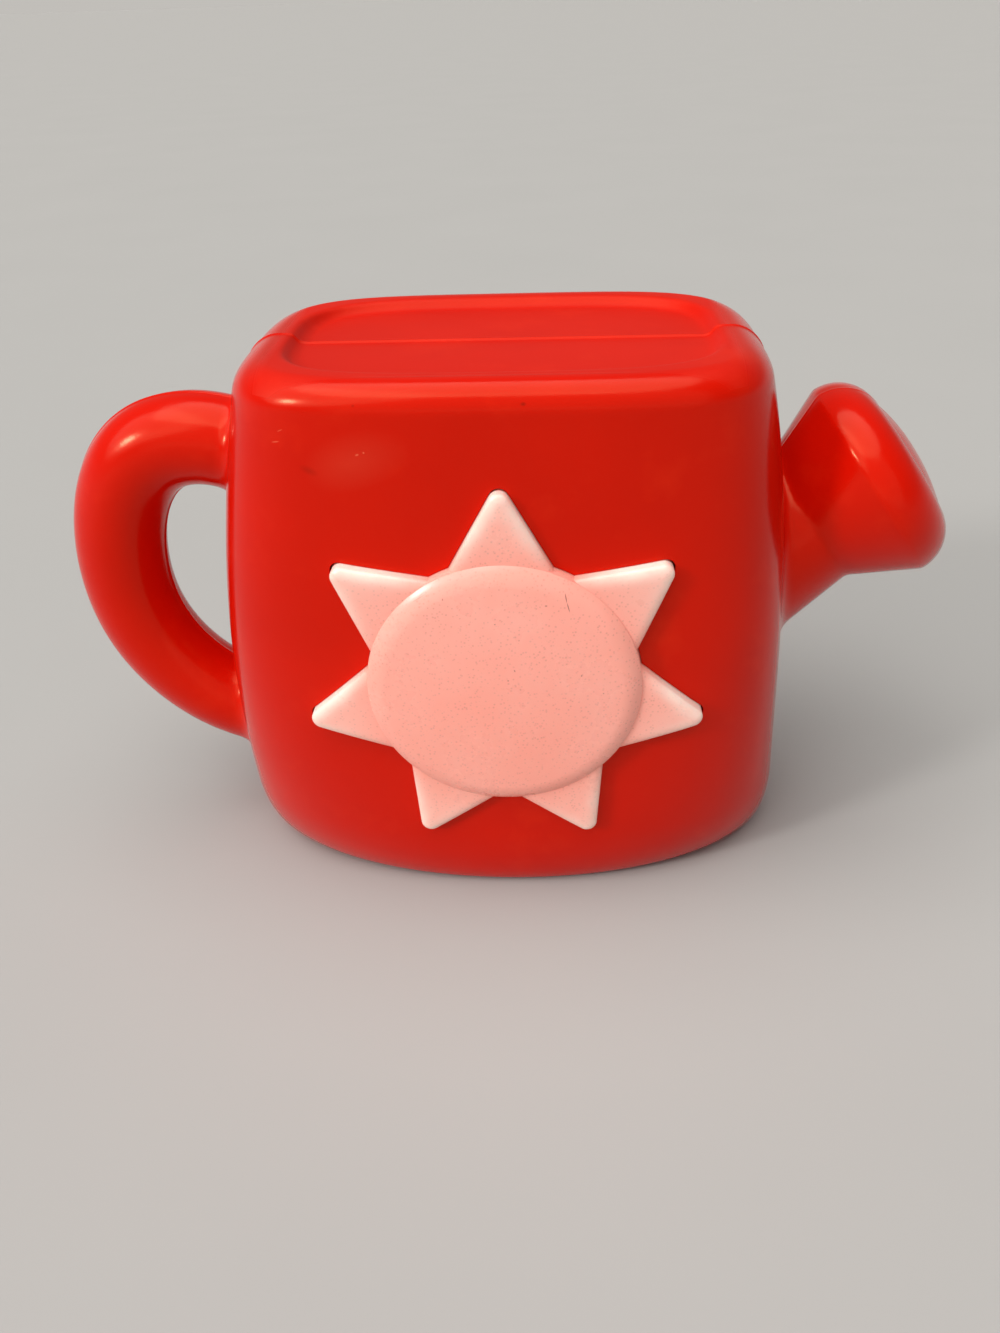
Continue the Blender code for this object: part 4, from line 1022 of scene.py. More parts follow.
    def disc(self) -> Piece:
        """Domed disc: a parabola as its crown, and an arc that leaves the crown without a bend.

        Returns:
            The disc, with a root that reaches into the plate.
        """
        front = -self.form.half_depth - self.star_proud
        flat = self.disc_radius - self.disc_shoulder
        share = np.linspace(self.disc_hub, 1, self.crown_rows)
        crown = np.column_stack((flat * share, self.disc_proud - self.disc_crown * share**2))
        drop = self.disc_proud - self.disc_crown
        start = math.atan(2 * self.disc_crown / flat)
        end = 2 * math.atan(drop / self.disc_shoulder) - start
        arc = self.disc_shoulder / (math.sin(end) - math.sin(start))
        turn = np.linspace(start, end, self.shoulder_rows)[1:]
        out = flat + arc * (np.sin(turn) - math.sin(start))
        shoulder = np.column_stack((out, drop - arc * (math.cos(start) - np.cos(turn))))
        foot = [(self.disc_radius, -self.disc_root)]
        frame = Matrix.Translation((0, front, self.height)) @ AGAINST_Y
        profile = crown.tolist() + shoulder.tolist() + foot
        return solid_of_rows("disc", turned_rows(profile, frame, self.disc_steps))

    def disc_edge(self) -> float:
        """Depth of the disc's face where its shoulder starts."""
        return -self.form.half_depth - self.star_proud - self.disc_proud + self.disc_crown

    def well(self) -> Piece:
        """Hollow behind the disc.

        Returns:
            The cutter.
        """
        radius = self.disc_radius - self.disc_shoulder
        first = self.disc_edge() + self.wall
        return rod("disc_well", 0, self.height, radius, first, self.flange_front, self.well_steps)

    def posts(self) -> list[Step]:
        """Plunger in the middle and three seats with spigots for the springs.

        Returns:
            Steps that join them to the sun.
        """
        inner = self.disc_edge() + self.wall / 2
        steps = [(Solve.JOIN, rod("plunger", 0, self.height, self.plunger_radius, inner, self.plunger_end))]
        for x, z in self.spring_places():
            steps.append((Solve.JOIN, rod("seat", x, z, self.seat_radius, inner, self.spring_seat)))
            spigot = rod("spigot", x, z, self.spigot_radius, inner, self.spigot_end, self.spigot_steps)
            steps.append((Solve.JOIN, spigot))
        return steps

    def spring_places(self) -> list[Place]:
        """Middles of the springs on a circle, as (x, height).

        Returns:
            One place for each spring.
        """
        angles = [QUARTER + 2 * math.pi * k / BUTTON_SPRINGS for k in range(BUTTON_SPRINGS)]
        radius = self.spring_circle
        return [(radius * math.cos(a), self.height + radius * math.sin(a)) for a in angles]

    def opening(self) -> Piece:
        """Cutter for the opening in the front wall, flared by a round where it meets the wall's face.

        Towards the face the tips also get sharper, which leaves a dimple beyond each ray.

        Returns:
            The cutter.
        """
        radius = self.opening_round
        turn = np.linspace(0, QUARTER, self.opening_rows)
        grow = np.concatenate(([radius], radius * (1 - np.sin(turn)), [0.0]))
        flat = self.outline(self.opening_gap + grow, self.opening_tip - self.opening_dimple * grow / radius)
        before, beyond = self.opening_cut
        sink = np.concatenate(([before], radius * (1 - np.cos(turn)), [beyond]))[:, None]
        return solid_of_rows("sun_opening", self.rows(flat, self.face(flat, 0.0) + sink))

    def wear_and_sheen(self, piece: Piece) -> None:
        """Writes how pale each point is: rubbing at the tips and edges of the rays, with a painted
        highlight on the edges that face up.

        With u along and v across a point's own ray and h the ray's half angle, the point lies
        edge - (u sin h + v cos h) inside the ray's straight edge. The paleness falls to 0 over a band
        inside that edge and is strongest on the edges that face up, where it stands for light from above,
        and the rays also get paler evenly towards their tips.

        Args:
            piece: the finished sun.
        """
        points = points_of(piece.data)
        x, z = points[:, 0], points[:, 2] - self.height
        radius = np.hypot(x, z)
        step = 2 * math.pi / self.rays
        angle = (np.arctan2(z, x) - QUARTER + step / 2) % step - step / 2
        along, across = radius * np.cos(angle), radius * np.abs(np.sin(angle))
        inside = self.edge_line() - along * math.sin(self.half_angle) - across * math.cos(self.half_angle)
        band = np.clip(1 - inside / self.worn_and_lit_band, 0, 1) ** self.worn_and_lit_power
        outwards = np.clip((radius - self.disc_radius) / (self.tip_radius - self.disc_radius), 0, 1)
        # Painted highlight: the edges that face towards sheen_side, upwards, get more paleness, as if lit
        # from above
        facing = np.arctan2(z, x) - angle + np.sign(angle) * (QUARTER - self.half_angle)
        lit_from_above = 0.5 + 0.5 * np.cos(facing - self.sheen_side)
        exposed_and_lit = self.worn_and_lit_least + (1 - self.worn_and_lit_least) * np.maximum(lit_from_above, outwards**2)
        rubbed_and_lit = band * np.clip(self.worn_and_lit_rise * outwards, 0, 1) * exposed_and_lit
        share = 1 - (1 - rubbed_and_lit) * (1 - self.paler_tips * outwards)
        piece.data.attributes.new("wear_and_sheen", "FLOAT", "POINT").data.foreach_set("value", share)


# Battery door


@dataclass
class DoorForm:
    """Battery door in the back wall: a plate that follows the wall, with tabs and a screw boss."""

    form: CanForm
    half: float = 28.95 * MM
    bottom: float = 10.9 * MM
    top: float = 50.5 * MM
    corner: float = 2.0 * MM
    least_corner: float = 0.1 * MM
    thick: float = 2.0 * MM
    sunk: float = 0.2 * MM
    gap: float = 0.4 * MM
    edge_round: float = 0.5 * MM
    hub: float = 0.04
    screw_height: float = 14.6 * MM
    seat: float = 32.5 * MM
    boss_end: float = 30.9 * MM
    boss_radius: float = 3.8 * MM
    well_radius: float = 3.4 * MM
    bore_radius: float = 1.8 * MM
    tab_x: float = 16.0 * MM
    tab_half: float = 4.0 * MM
    tab_back: float = 31.49 * MM
    tab_thick: float = 1.7 * MM
    tab_reach: float = 3.2 * MM
    riser_gap: float = 0.6 * MM
    opening_cut: Pair = (-6.0 * MM, 6.0 * MM)
    corner_steps: int = 7
    side_steps: int = 9
    face_rows: int = 20
    edge_rows: int = 6

    def outline(self, offset: np.ndarray | float) -> np.ndarray:
        """Rounded rectangle grown by offsets: four quarter arcs joined by straight sides.

        Args:
            offset: growth of each row.

        Returns:
            (x, height) points as rows x points x 2.
        """
        offset = np.atleast_1d(np.asarray(offset, float))[:, None]
        radius = np.maximum(self.corner + offset, self.least_corner)
        turn = np.linspace(0, QUARTER, self.corner_steps)[None]
        middle = (self.top + self.bottom) / 2
        wide = self.half + offset - radius
        tall = (self.top - self.bottom) / 2 + offset - radius
        spots = []
        for quarter, (sx, sz) in enumerate(((1, 1), (-1, 1), (-1, -1), (1, -1))):
            angle = turn + quarter * QUARTER
            x = sx * wide + radius * np.cos(angle)
            z = middle + sz * tall + radius * np.sin(angle)
            spots.append(np.stack((x, z), -1))
        ring = np.concatenate(spots, 1)
        after = np.roll(ring, -1, axis=1)
        share = np.linspace(0, 1, self.side_steps)[None, None, :-1, None]
        full = ring[:, :, None] + share * (after - ring)[:, :, None]
        return full.reshape(len(offset), -1, 2)

    def rows(self, flat: np.ndarray, depth: np.ndarray) -> np.ndarray:
        """Points in the row frame from (x, height) places and depths."""
        depth = np.broadcast_to(depth, flat.shape[:-1])
        return np.stack((flat[..., 0], depth, flat[..., 1]), -1)

    def face(self, flat: np.ndarray, sunk: np.ndarray | float) -> np.ndarray:
        """Depth of the back wall's face, sunk by an amount."""
        return self.form.depth(flat[..., 0], flat[..., 1]) - sunk

    def build(self, name: str) -> Piece:
        """The door: its outline carried out over the face, round the edge and back in, with its fittings.

        Args:
            name: object name.

        Returns:
            The door.
        """
        edge = self.edge_round
        middle = np.array([0.0, (self.top + self.bottom) / 2])
        share = np.linspace(self.hub, 1, self.face_rows)[:, None, None]
        outer_flat = middle + share * (self.outline(-edge) - middle)
        turn = np.linspace(0, QUARTER, self.edge_rows)[1:]
        round_flat = self.outline(-edge * (1 - np.sin(turn)))
        sunk = (edge * (1 - np.cos(turn)))[:, None]
        rim_flat = self.outline(np.zeros(1))
        inner_flat = middle + share[::-1] * (self.outline(0.0) - middle)
        rows = np.concatenate((
            self.rows(outer_flat, self.face(outer_flat, self.sunk)),
            self.rows(round_flat, self.face(round_flat, self.sunk) - sunk),
            self.rows(rim_flat, self.face(rim_flat, self.thick)),
            self.rows(inner_flat, self.face(inner_flat, self.thick))[1:],
        ))
        return smooth_shading(solve(solid_of_rows(name, rows), *self.fittings()))

    def fittings(self) -> list[Step]:
        """Screw boss, two tabs with their risers, and the screw's bore and well.

        Returns:
            Steps that work them into the door.
        """
        height = self.screw_height
        wall_inside = self.form.half_depth - self.thick / 2
        steps = [(Solve.JOIN, rod("boss", 0, height, self.boss_radius, self.boss_end, wall_inside))]
        for side in (-1, 1):
            low, high = side * self.tab_x - self.tab_half, side * self.tab_x + self.tab_half
            root = self.top - self.tab_reach
            front = self.tab_back - self.tab_thick
            tab = box("tab", (low, front, root), (high, self.tab_back, self.top + self.tab_reach))
            riser_end = (high, wall_inside, self.top - self.riser_gap)
            riser = box("riser", (low, self.tab_back - self.tab_thick / 2, root), riser_end)
            steps += [(Solve.JOIN, tab), (Solve.JOIN, riser)]
        first, last = self.boss_end - OVERCUT, self.seat + OVERCUT
        steps.append((Solve.CUT, rod("screw_bore", 0, height, self.bore_radius, first, last)))
        beyond = 2 * self.form.half_depth
        steps.append((Solve.CUT, rod("screw_well", 0, height, self.well_radius, self.seat, beyond)))
        return steps

    def opening(self) -> Piece:
        """Cutter for the door's opening, flared by a small round at the wall's face.

        Returns:
            The cutter.
        """
        radius = self.edge_round
        turn = np.linspace(0, QUARTER, self.edge_rows)
        grow = np.concatenate(([radius], radius * (1 - np.sin(turn)), [0.0]))
        flat = self.outline(self.gap + grow)
        before, beyond = self.opening_cut
        sink = np.concatenate(([before], radius * (1 - np.cos(turn)), [beyond]))[:, None]
        return solid_of_rows("door_opening", self.rows(flat, self.face(flat, sink)))


# Case shells


@dataclass(frozen=True)
class ScrewSpot:
    """Place of a case screw, the depth of its head's seat and how far its post and boss reach."""

    x: float
    z: float
    seat: float
    reach: float


@dataclass
class CaseShells:
    """The two half shells, cut from one skin at the middle plane."""

    form: CanForm
    sun: SunForm
    door: DoorForm
    seam: float = 0.005 * MM
    boss_radius: float = 3.7 * MM
    boss_floor: float = 3.0 * MM
    post_radius: float = 4.4 * MM
    well_radius: float = 3.4 * MM
    bore_radius: float = 1.8 * MM
    bore_steps: int = 20
    screw_spots: tuple[ScrewSpot, ...] = (
        ScrewSpot(-39.0 * MM, 97.0 * MM, 8.0 * MM, 27.4 * MM),
        ScrewSpot(39.0 * MM, 97.0 * MM, 8.0 * MM, 27.3 * MM),
        ScrewSpot(-46.0 * MM, 19.0 * MM, 8.0 * MM, 23.1 * MM),
        ScrewSpot(46.0 * MM, 19.0 * MM, 8.0 * MM, 22.4 * MM),
        ScrewSpot(-84.0 * MM, 61.91 * MM, 4.5 * MM, 8.4 * MM),
        ScrewSpot(62.47 * MM, 73.46 * MM, 8.0 * MM, 14.1 * MM),
    )
    lug_low: Point = (-5.2 * MM, 24.6 * MM, 5.5 * MM)
    lug_high: Point = (5.2 * MM, 30.6 * MM, 18.0 * MM)
    lug_foot: Point = (5.2 * MM, 32.0 * MM, 10.2 * MM)
    lug_bore: float = 2.1 * MM
    lug_floor: float = 2.0 * MM
    grille_height: float = 84.0 * MM
    grille_pitch: float = 5.2 * MM
    grille_radius: float = 1.5 * MM
    grille_steps: int = 24
    grille_start: float = 29.0 * MM
    grille_rings: tuple[int, ...] = (1, 2)
    first_ring_holes: int = 6
    far: float = 0.3

    def build(self, skin: Piece, side: Side, name: str) -> Piece:
        """One shell: half the skin, hollowed out, with its bosses and openings.

        Args:
            skin: closed skin of the whole can.
            side: which half.
            name: object name.

        Returns:
            The shell, with the skin's own normals.
        """
        made = bpy.data.objects.new(name, skin.data.copy())
        bpy.context.scene.collection.objects.link(made)
        low, high = sorted((side.value * self.seam, side.value * self.far))
        half = box("half", (-self.far, low, -self.far), (self.far, high, self.far))
        cavity = solid_of_rows("cavity", self.form.cavity_rows())
        steps = self.front_steps() if side is Side.FRONT else self.back_steps()
        solve(made, (Solve.KEEP, half), (Solve.CUT, cavity), *steps)
        smooth_shading(made)
        self.form.true_normals(made)
        return made

    def front_steps(self) -> list[Step]:
        """Bosses for the case screws, and the sun's opening.

        Returns:
            Steps that work them into the front shell.
        """
        steps = []
        for spot in self.screw_spots:
            boss = rod("boss", spot.x, spot.z, self.boss_radius, -spot.reach, -self.seam)
            first = -spot.reach + self.boss_floor
            bore = rod("bore", spot.x, spot.z, self.bore_radius, first, OVERCUT, self.bore_steps)
            steps += [(Solve.JOIN, boss), (Solve.CUT, bore)]
        steps.append((Solve.CUT, self.sun.opening()))
        return steps

    def back_steps(self) -> list[Step]:
        """Posts and wells for the case screws, the speaker's holes, the door's opening and its lug.

        Returns:
            Steps that work them into the back shell.
        """
        steps = []
        for spot in self.screw_spots:
            steps.append((Solve.JOIN, rod("post", spot.x, spot.z, self.post_radius, self.seam, spot.reach)))
        for spot in self.screw_spots:
            last = spot.seat + OVERCUT
            bore = rod("bore", spot.x, spot.z, self.bore_radius, -OVERCUT, last, self.bore_steps)
            well = rod("well", spot.x, spot.z, self.well_radius, spot.seat, self.far)
            steps += [(Solve.CUT, bore), (Solve.CUT, well)]
        for x, z in self.grille_places():
            first, last = self.grille_start, self.far
            hole = rod("sound_hole", x, z, self.grille_radius, first, last, self.grille_steps)
            steps.append((Solve.CUT, hole))
        steps.append((Solve.CUT, self.door.opening()))
        steps.append((Solve.JOIN, box("lug", self.lug_low, self.lug_high)))
        steps.append((Solve.JOIN, box("lug_foot", self.lug_low, self.lug_foot)))
        first, last = self.lug_low[1] + self.lug_floor, self.lug_high[1] + OVERCUT
        steps.append((Solve.CUT, rod("lug_bore", 0, self.door.screw_height, self.lug_bore, first, last)))
        return steps

    def grille_places(self) -> list[Place]:
        """Middles of the speaker's holes: one in the middle, then six and twelve on rings of equal pitch.

        Returns:
            (x, height) places.
        """
        places = [(0.0, self.grille_height)]
        for ring in self.grille_rings:
            count = self.first_ring_holes * ring
            angle = 2 * math.pi * np.arange(count) / count
            radius = ring * self.grille_pitch
            places += list(zip(radius * np.cos(angle), self.grille_height + radius * np.sin(angle)))
        return places


# Screws, springs, dome and cells


@dataclass
class CrossScrew:
    """Pan-head screw with a cross recess, along Y."""

    radius: float = 1.5 * MM
    head_radius: float = 2.8 * MM
    head_height: float = 1.7 * MM
    head_flat: float = 0.15
    head_side: float = 0.45
    head_dome: float = 0.55
    slot_half: float = 0.42 * MM
    slot_reach: float = 1.7 * MM
    slot_depth: float = 1.0 * MM
    pitch: float = 0.9 * MM
    thread: float = 0.22 * MM
    thread_start: float = 0.6 * MM
    thread_stop: float = 1.6 * MM
    point_length: float = 1.2 * MM
    point_share: float = 0.8
    head_rows: int = 8
    steps: int = 36

    def build(self, name: str, low: Point, high: Point) -> Piece:
        """The screw inside a node's box, head at the high end of Y: a turned profile with crossed slots.

        Args:
            name: object name.
            low: lowest corner of the box.
            high: highest corner of the box.

        Returns:
            The screw.
        """
        x, z = (low[0] + high[0]) / 2, (low[2] + high[2]) / 2
        seat = high[1] - self.head_height
        frame = Matrix.Translation((x, seat, z)) @ ALONG_Y
        made = solid_of_rows(name, turned_rows(self.profile(seat - low[1]), frame, self.steps))
        top = seat + self.head_height
        slots = []
        for wide, tall in ((self.slot_reach, self.slot_half), (self.slot_half, self.slot_reach)):
            low_corner = (x - wide, top - self.slot_depth, z - tall)
            slots.append((Solve.CUT, box("slot", low_corner, (x + wide, top + OVERCUT, z + tall))))
        return smooth_shading(solve(made, *slots))

    def profile(self, length: float) -> list[Place]:
        """Profile from the head's top to the point: a low dome, a flat underside, ridges and a taper.

        Args:
            length: length of the shank.

        Returns:
            (radius, height) points, with the head's underside at height 0.
        """
        turn = np.linspace(self.head_flat, QUARTER, self.head_rows)
        rise = self.head_height * (self.head_side + self.head_dome * np.cos(turn))
        dome = np.column_stack((self.head_radius * np.sin(turn), rise)).tolist()
        ridges = np.arange(-self.thread_start, -length + self.thread_stop, -self.pitch / 2)
        sunk = self.thread * (np.arange(len(ridges)) % 2)
        shank = np.column_stack((self.radius - sunk, ridges)).tolist()
        taper = [(self.radius * self.point_share, -length + self.point_length), (POLE, -length)]
        return dome + [(self.head_radius, 0.0), (self.radius, 0.0)] + shank + taper


@dataclass
class CoilSpring:
    """Wound wire spring along Y or X, with its radius at the low and at the high end."""

    wire: float = 0.35 * MM
    turns: int = 5
    axis: Axis = Axis.Y
    ends: Pair = (3.0 * MM, 3.0 * MM)
    turn_steps: int = 28
    wire_steps: int = 12

    def build(self, name: str, low: Point, high: Point) -> Piece:
        """Wire along a helix: radius runs between the ends' radii, and the path ends inside a node's box.

        Args:
            name: object name.
            low: lowest corner of the node's box.
            high: highest corner of the node's box.

        Returns:
            The spring.
        """
        axis = self.axis.value
        share = np.linspace(0, 1, self.turns * self.turn_steps + 1)
        angle = 2 * math.pi * self.turns * share
        radius = self.ends[0] + (self.ends[1] - self.ends[0]) * share
        run = low[axis] + self.wire + share * (high[axis] - low[axis] - 2 * self.wire)
        middle = [(a + b) / 2 for a, b in zip(low, high)]
        other = 1 - axis
        path = np.empty((len(share), 3))
        path[:, axis] = run
        path[:, other] = middle[other] + radius * np.cos(angle)
        path[:, 2] = middle[2] + radius * np.sin(angle)
        return smooth_shading(solid_of_rows(name, self.wound(path)))

    def wound(self, path: np.ndarray) -> np.ndarray:
        """Rings round the wire, each set across the path by the direction of the coil's axis.

        Args:
            path: points of the wire's middle line.

        Returns:
            Rings as points x steps x 3.
        """
        ahead = np.gradient(path, axis=0)
        ahead /= np.linalg.norm(ahead, axis=1, keepdims=True)
        side = np.cross(ahead, np.eye(3)[self.axis.value])
        side /= np.linalg.norm(side, axis=1, keepdims=True)
        up = np.cross(side, ahead)
        angle = np.linspace(0, 2 * math.pi, self.wire_steps, endpoint=False)[None, :, None]
        return path[:, None] + self.wire * (np.cos(angle) * side[:, None] + np.sin(angle) * up[:, None])


@dataclass
class RubberDome:
    """Rubber dome under the sun's plunger: a flat foot, a thin cone and a button on top, hollow beneath."""

    foot: float = 0.8 * MM
    skin: float = 0.7 * MM
    cone_radius: float = 5.2 * MM
    button_radius: float = 3.2 * MM
    edge: float = 0.5 * MM
    steps: int = 48

    def build(self, name: str, low: Point, high: Point) -> Piece:
        """The dome inside a node's box, button at the low end of Y: a profile over it and back beneath.

        Args:
            name: object name.
            low: lowest corner of the box.
            high: highest corner of the box.

        Returns:
            The dome.
        """
        radius, tall = (high[0] - low[0]) / 2, high[1] - low[1]
        roof = tall - 2 * self.skin
        outer = [
            (POLE, tall),
            (self.button_radius - self.edge, tall),
            (self.button_radius, tall - self.edge),
            (self.button_radius, tall - 2 * self.edge),
            (self.cone_radius, self.foot + self.edge),
            (self.cone_radius + self.edge, self.foot),
            (radius - self.edge / 2, self.foot),
            (radius, self.foot - self.edge / 2),
            (radius, 0.0),
        ]
        inner = [(self.cone_radius - self.skin, 0.0), (self.button_radius - self.skin, roof), (POLE, roof)]
        middle = ((low[0] + high[0]) / 2, high[1], (low[2] + high[2]) / 2)
        frame = Matrix.Translation(middle) @ AGAINST_Y
        return smooth_shading(solid_of_rows(name, turned_rows(outer + inner, frame, self.steps)))


@dataclass
class BatteryCell:
    """Round cell along X: a jacket with rounded shoulders, a groove round its nub and a flat end."""

    nub_radius: float = 2.75 * MM
    nub_height: float = 1.2 * MM
    nub_edge: float = 0.35 * MM
    shoulder: float = 0.5 * MM
    rim: float = 1.5 * MM
    groove: float = 0.3 * MM
    shoulder_rows: int = 6
    steps: int = 56

    def build(self, name: str, low: Point, high: Point, nub: Nub) -> Piece:
        """The cell inside a node's box, turned from a profile that starts at its flat end.

        Args:
            name: object name.
            low: lowest corner of the box.
            high: highest corner of the box.
            nub: the end that has the nub.

        Returns:
            The cell.
        """
        radius, length = (high[1] - low[1]) / 2, high[0] - low[0]
        top = length - self.nub_height
        turn = np.linspace(0, QUARTER, self.shoulder_rows)
        bend = radius - self.shoulder * (1 - np.sin(turn))
        sunk = self.shoulder * (1 - np.cos(turn))
        flat_end = [(POLE, 0.0), *zip(bend, sunk)]
        crown = [
            (radius - self.rim, top),
            (radius - self.rim - self.groove, top - self.groove),
            (self.nub_radius, top - self.groove),
            (self.nub_radius, length - self.nub_edge),
            (self.nub_radius - self.nub_edge, length),
            (POLE, length),
        ]
        profile = flat_end + list(zip(bend[::-1], top - sunk[::-1])) + crown
        foot_x = low[0] if nub is Nub.RIGHT else high[0]
        foot = (foot_x, (low[1] + high[1]) / 2, (low[2] + high[2]) / 2)
        frame = Matrix.Translation(foot) @ Matrix.Rotation(nub.value * QUARTER, 4, "Y")
        return smooth_shading(solid_of_rows(name, turned_rows(profile, frame, self.steps)))


# Finishes


def rgba(colour: Colour) -> tuple[float, float, float, float]:
    """Colour with full alpha."""
    return (*colour, 1.0)


@dataclass(frozen=True)
class Mark:
    """Small oval mark on a finish, such as a scratch, a speck or a hair.

    It has half sizes across, in height and through the surface, and is turned by degrees.
    """

    place: Point
    reach: Pair
    turn: float = 0.0
    colour: Colour = (0.14, 0.04, 0.03)
    strength: float = 0.5
    core: float = 0.5
    through: float = 2.5 * MM


class NodeBench:
    """A node tree, with short ways to add and join nodes."""

    def __init__(self, tree: bpy.types.NodeTree) -> None:
        """Works on a tree."""
        self.tree = tree

    def add(self, kind: str, inputs: Inputs | None = None, **settings: object) -> bpy.types.Node:
        """Adds a node.

        Args:
            kind: node type without its ShaderNode prefix.
            inputs: input name or number to a value or a socket.
            settings: node properties.

        Returns:
            The node.
        """
        made = self.tree.nodes.new("ShaderNode" + kind)
        for key, value in settings.items():
            setattr(made, key, value)
        for key, value in (inputs or {}).items():
            self.feed(made.inputs[key], value)
        return made

    def feed(self, socket: Socket, value: object) -> None:
        """Sets a socket to a value, or joins another socket to it.

        Args:
            socket: the socket.
            value: a plain value, or a socket to join.
        """
        if isinstance(value, Socket):
            self.tree.links.new(value, socket)
        else:
            socket.default_value = value

    def span(self, value: Socket, old: Pair, new: Pair, **settings: object) -> Socket:
        """Carries a value from one range to another, clamped.

        Args:
            value: the value.
            old: ends of its range.
            new: what those ends become.
            settings: node properties.

        Returns:
            The new value.
        """
        inputs = {"Value": value, "From Min": old[0], "From Max": old[1]}
        inputs |= {"To Min": new[0], "To Max": new[1]}
        return self.add("MapRange", inputs, **settings).outputs["Result"]

    def maths(self, operation: str, first: object, second: object) -> Socket:
        """Result of an operation on two values."""
        return self.add("Math", {0: first, 1: second}, operation=operation).outputs[0]

    def vector(self, operation: str, first: object, second: object = (0.0, 0.0, 0.0)) -> bpy.types.Node:
        """Node with the result of an operation on two vectors."""
        return self.add("VectorMath", {0: first, 1: second}, operation=operation)

    def mix(self, share: object, first: object, second: object) -> Socket:
        """Colour between two colours."""
        return self.add("Mix", {0: share, 6: first, 7: second}, data_type="RGBA").outputs[2]


class FinishBench(NodeBench):
    """A material's node tree, with patterns placed by Object coordinates."""

    def __init__(self, name: str) -> None:
        """Makes a material with a Principled shader.

        Args:
            name: material name.
        """
        self.material = bpy.data.materials.new(name)
        self.material.use_nodes = True
        super().__init__(self.material.node_tree)
        self.shader = self.tree.nodes["Principled BSDF"]
        self.place = self.add("TexCoord").outputs["Object"]

    def noise(
        self,
        scale: float,
        detail: float = 3.0,
        roughness: float = 0.5,
        squeeze: Point | None = None,
    ) -> Socket:
        """Value of a noise.

        Args:
            scale: noise scale.
            detail: number of finer layers.
            roughness: strength of the finer layers.
            squeeze: scale of the pattern along each axis.

        Returns:
            The noise's value.
        """
        place = self.place
        if squeeze is not None:
            place = self.add("Mapping", {"Vector": self.place, "Scale": squeeze}).outputs["Vector"]
        inputs = {"Vector": place, "Scale": scale, "Detail": detail, "Roughness": roughness}
        return self.add("TexNoise", inputs).outputs["Fac"]

    def oval(self, mark: Mark) -> Socket:
        """Share of a mark at a point: its strength in the core of an oval, falling to 0 at the oval's edge.

        Args:
            mark: the mark.

        Returns:
            The share.
        """
        scale = (mark.reach[0], mark.through, mark.reach[1])
        turn = (0.0, math.radians(mark.turn), 0.0)
        inputs = {"Vector": self.place, "Location": mark.place, "Rotation": turn, "Scale": scale}
        local = self.add("Mapping", inputs, vector_type="TEXTURE").outputs["Vector"]
        away = self.vector("LENGTH", local).outputs["Value"]
        return self.span(away, (mark.core, 1.0), (mark.strength, 0.0))

    def inside(self, low: Point, high: Point, core: float = 0.92) -> Socket:
        """1 inside a box and 0 outside, by the greatest distance from its middle in half sizes.

        Args:
            low: lowest corner of the box.
            high: highest corner of the box.
            core: where the fall to 0 starts.

        Returns:
            The share.
        """
        middle = tuple((a + b) / 2 for a, b in zip(low, high))
        half = tuple((b - a) / 2 for a, b in zip(low, high))
        away = self.vector("SUBTRACT", self.place, middle).outputs["Vector"]
        away = self.vector("ABSOLUTE", away).outputs["Vector"]
        away = self.vector("DIVIDE", away, half).outputs["Vector"]
        x, y, z = self.add("SeparateXYZ", {"Vector": away}).outputs
        most = self.maths("MAXIMUM", self.maths("MAXIMUM", x, y), z)
        return self.span(most, (core, 1.0), (1.0, 0.0))

    def bump(self, height: Socket, depth: float, strength: float) -> None:
        """Gives the shader a bump.

        Args:
            height: height of the surface, from 0 to 1.
            depth: what 1 stands for, in metres.
            strength: share of the bump.
        """
        made = self.add("Bump", {"Height": height, "Distance": depth, "Strength": strength})
        self.feed(self.shader.inputs["Normal"], made.outputs["Normal"])

    def give(self, values: dict[str, object]) -> None:
        """Sets or joins the shader's own inputs by name."""
        for key, value in values.items():
            self.feed(self.shader.inputs[key], value)


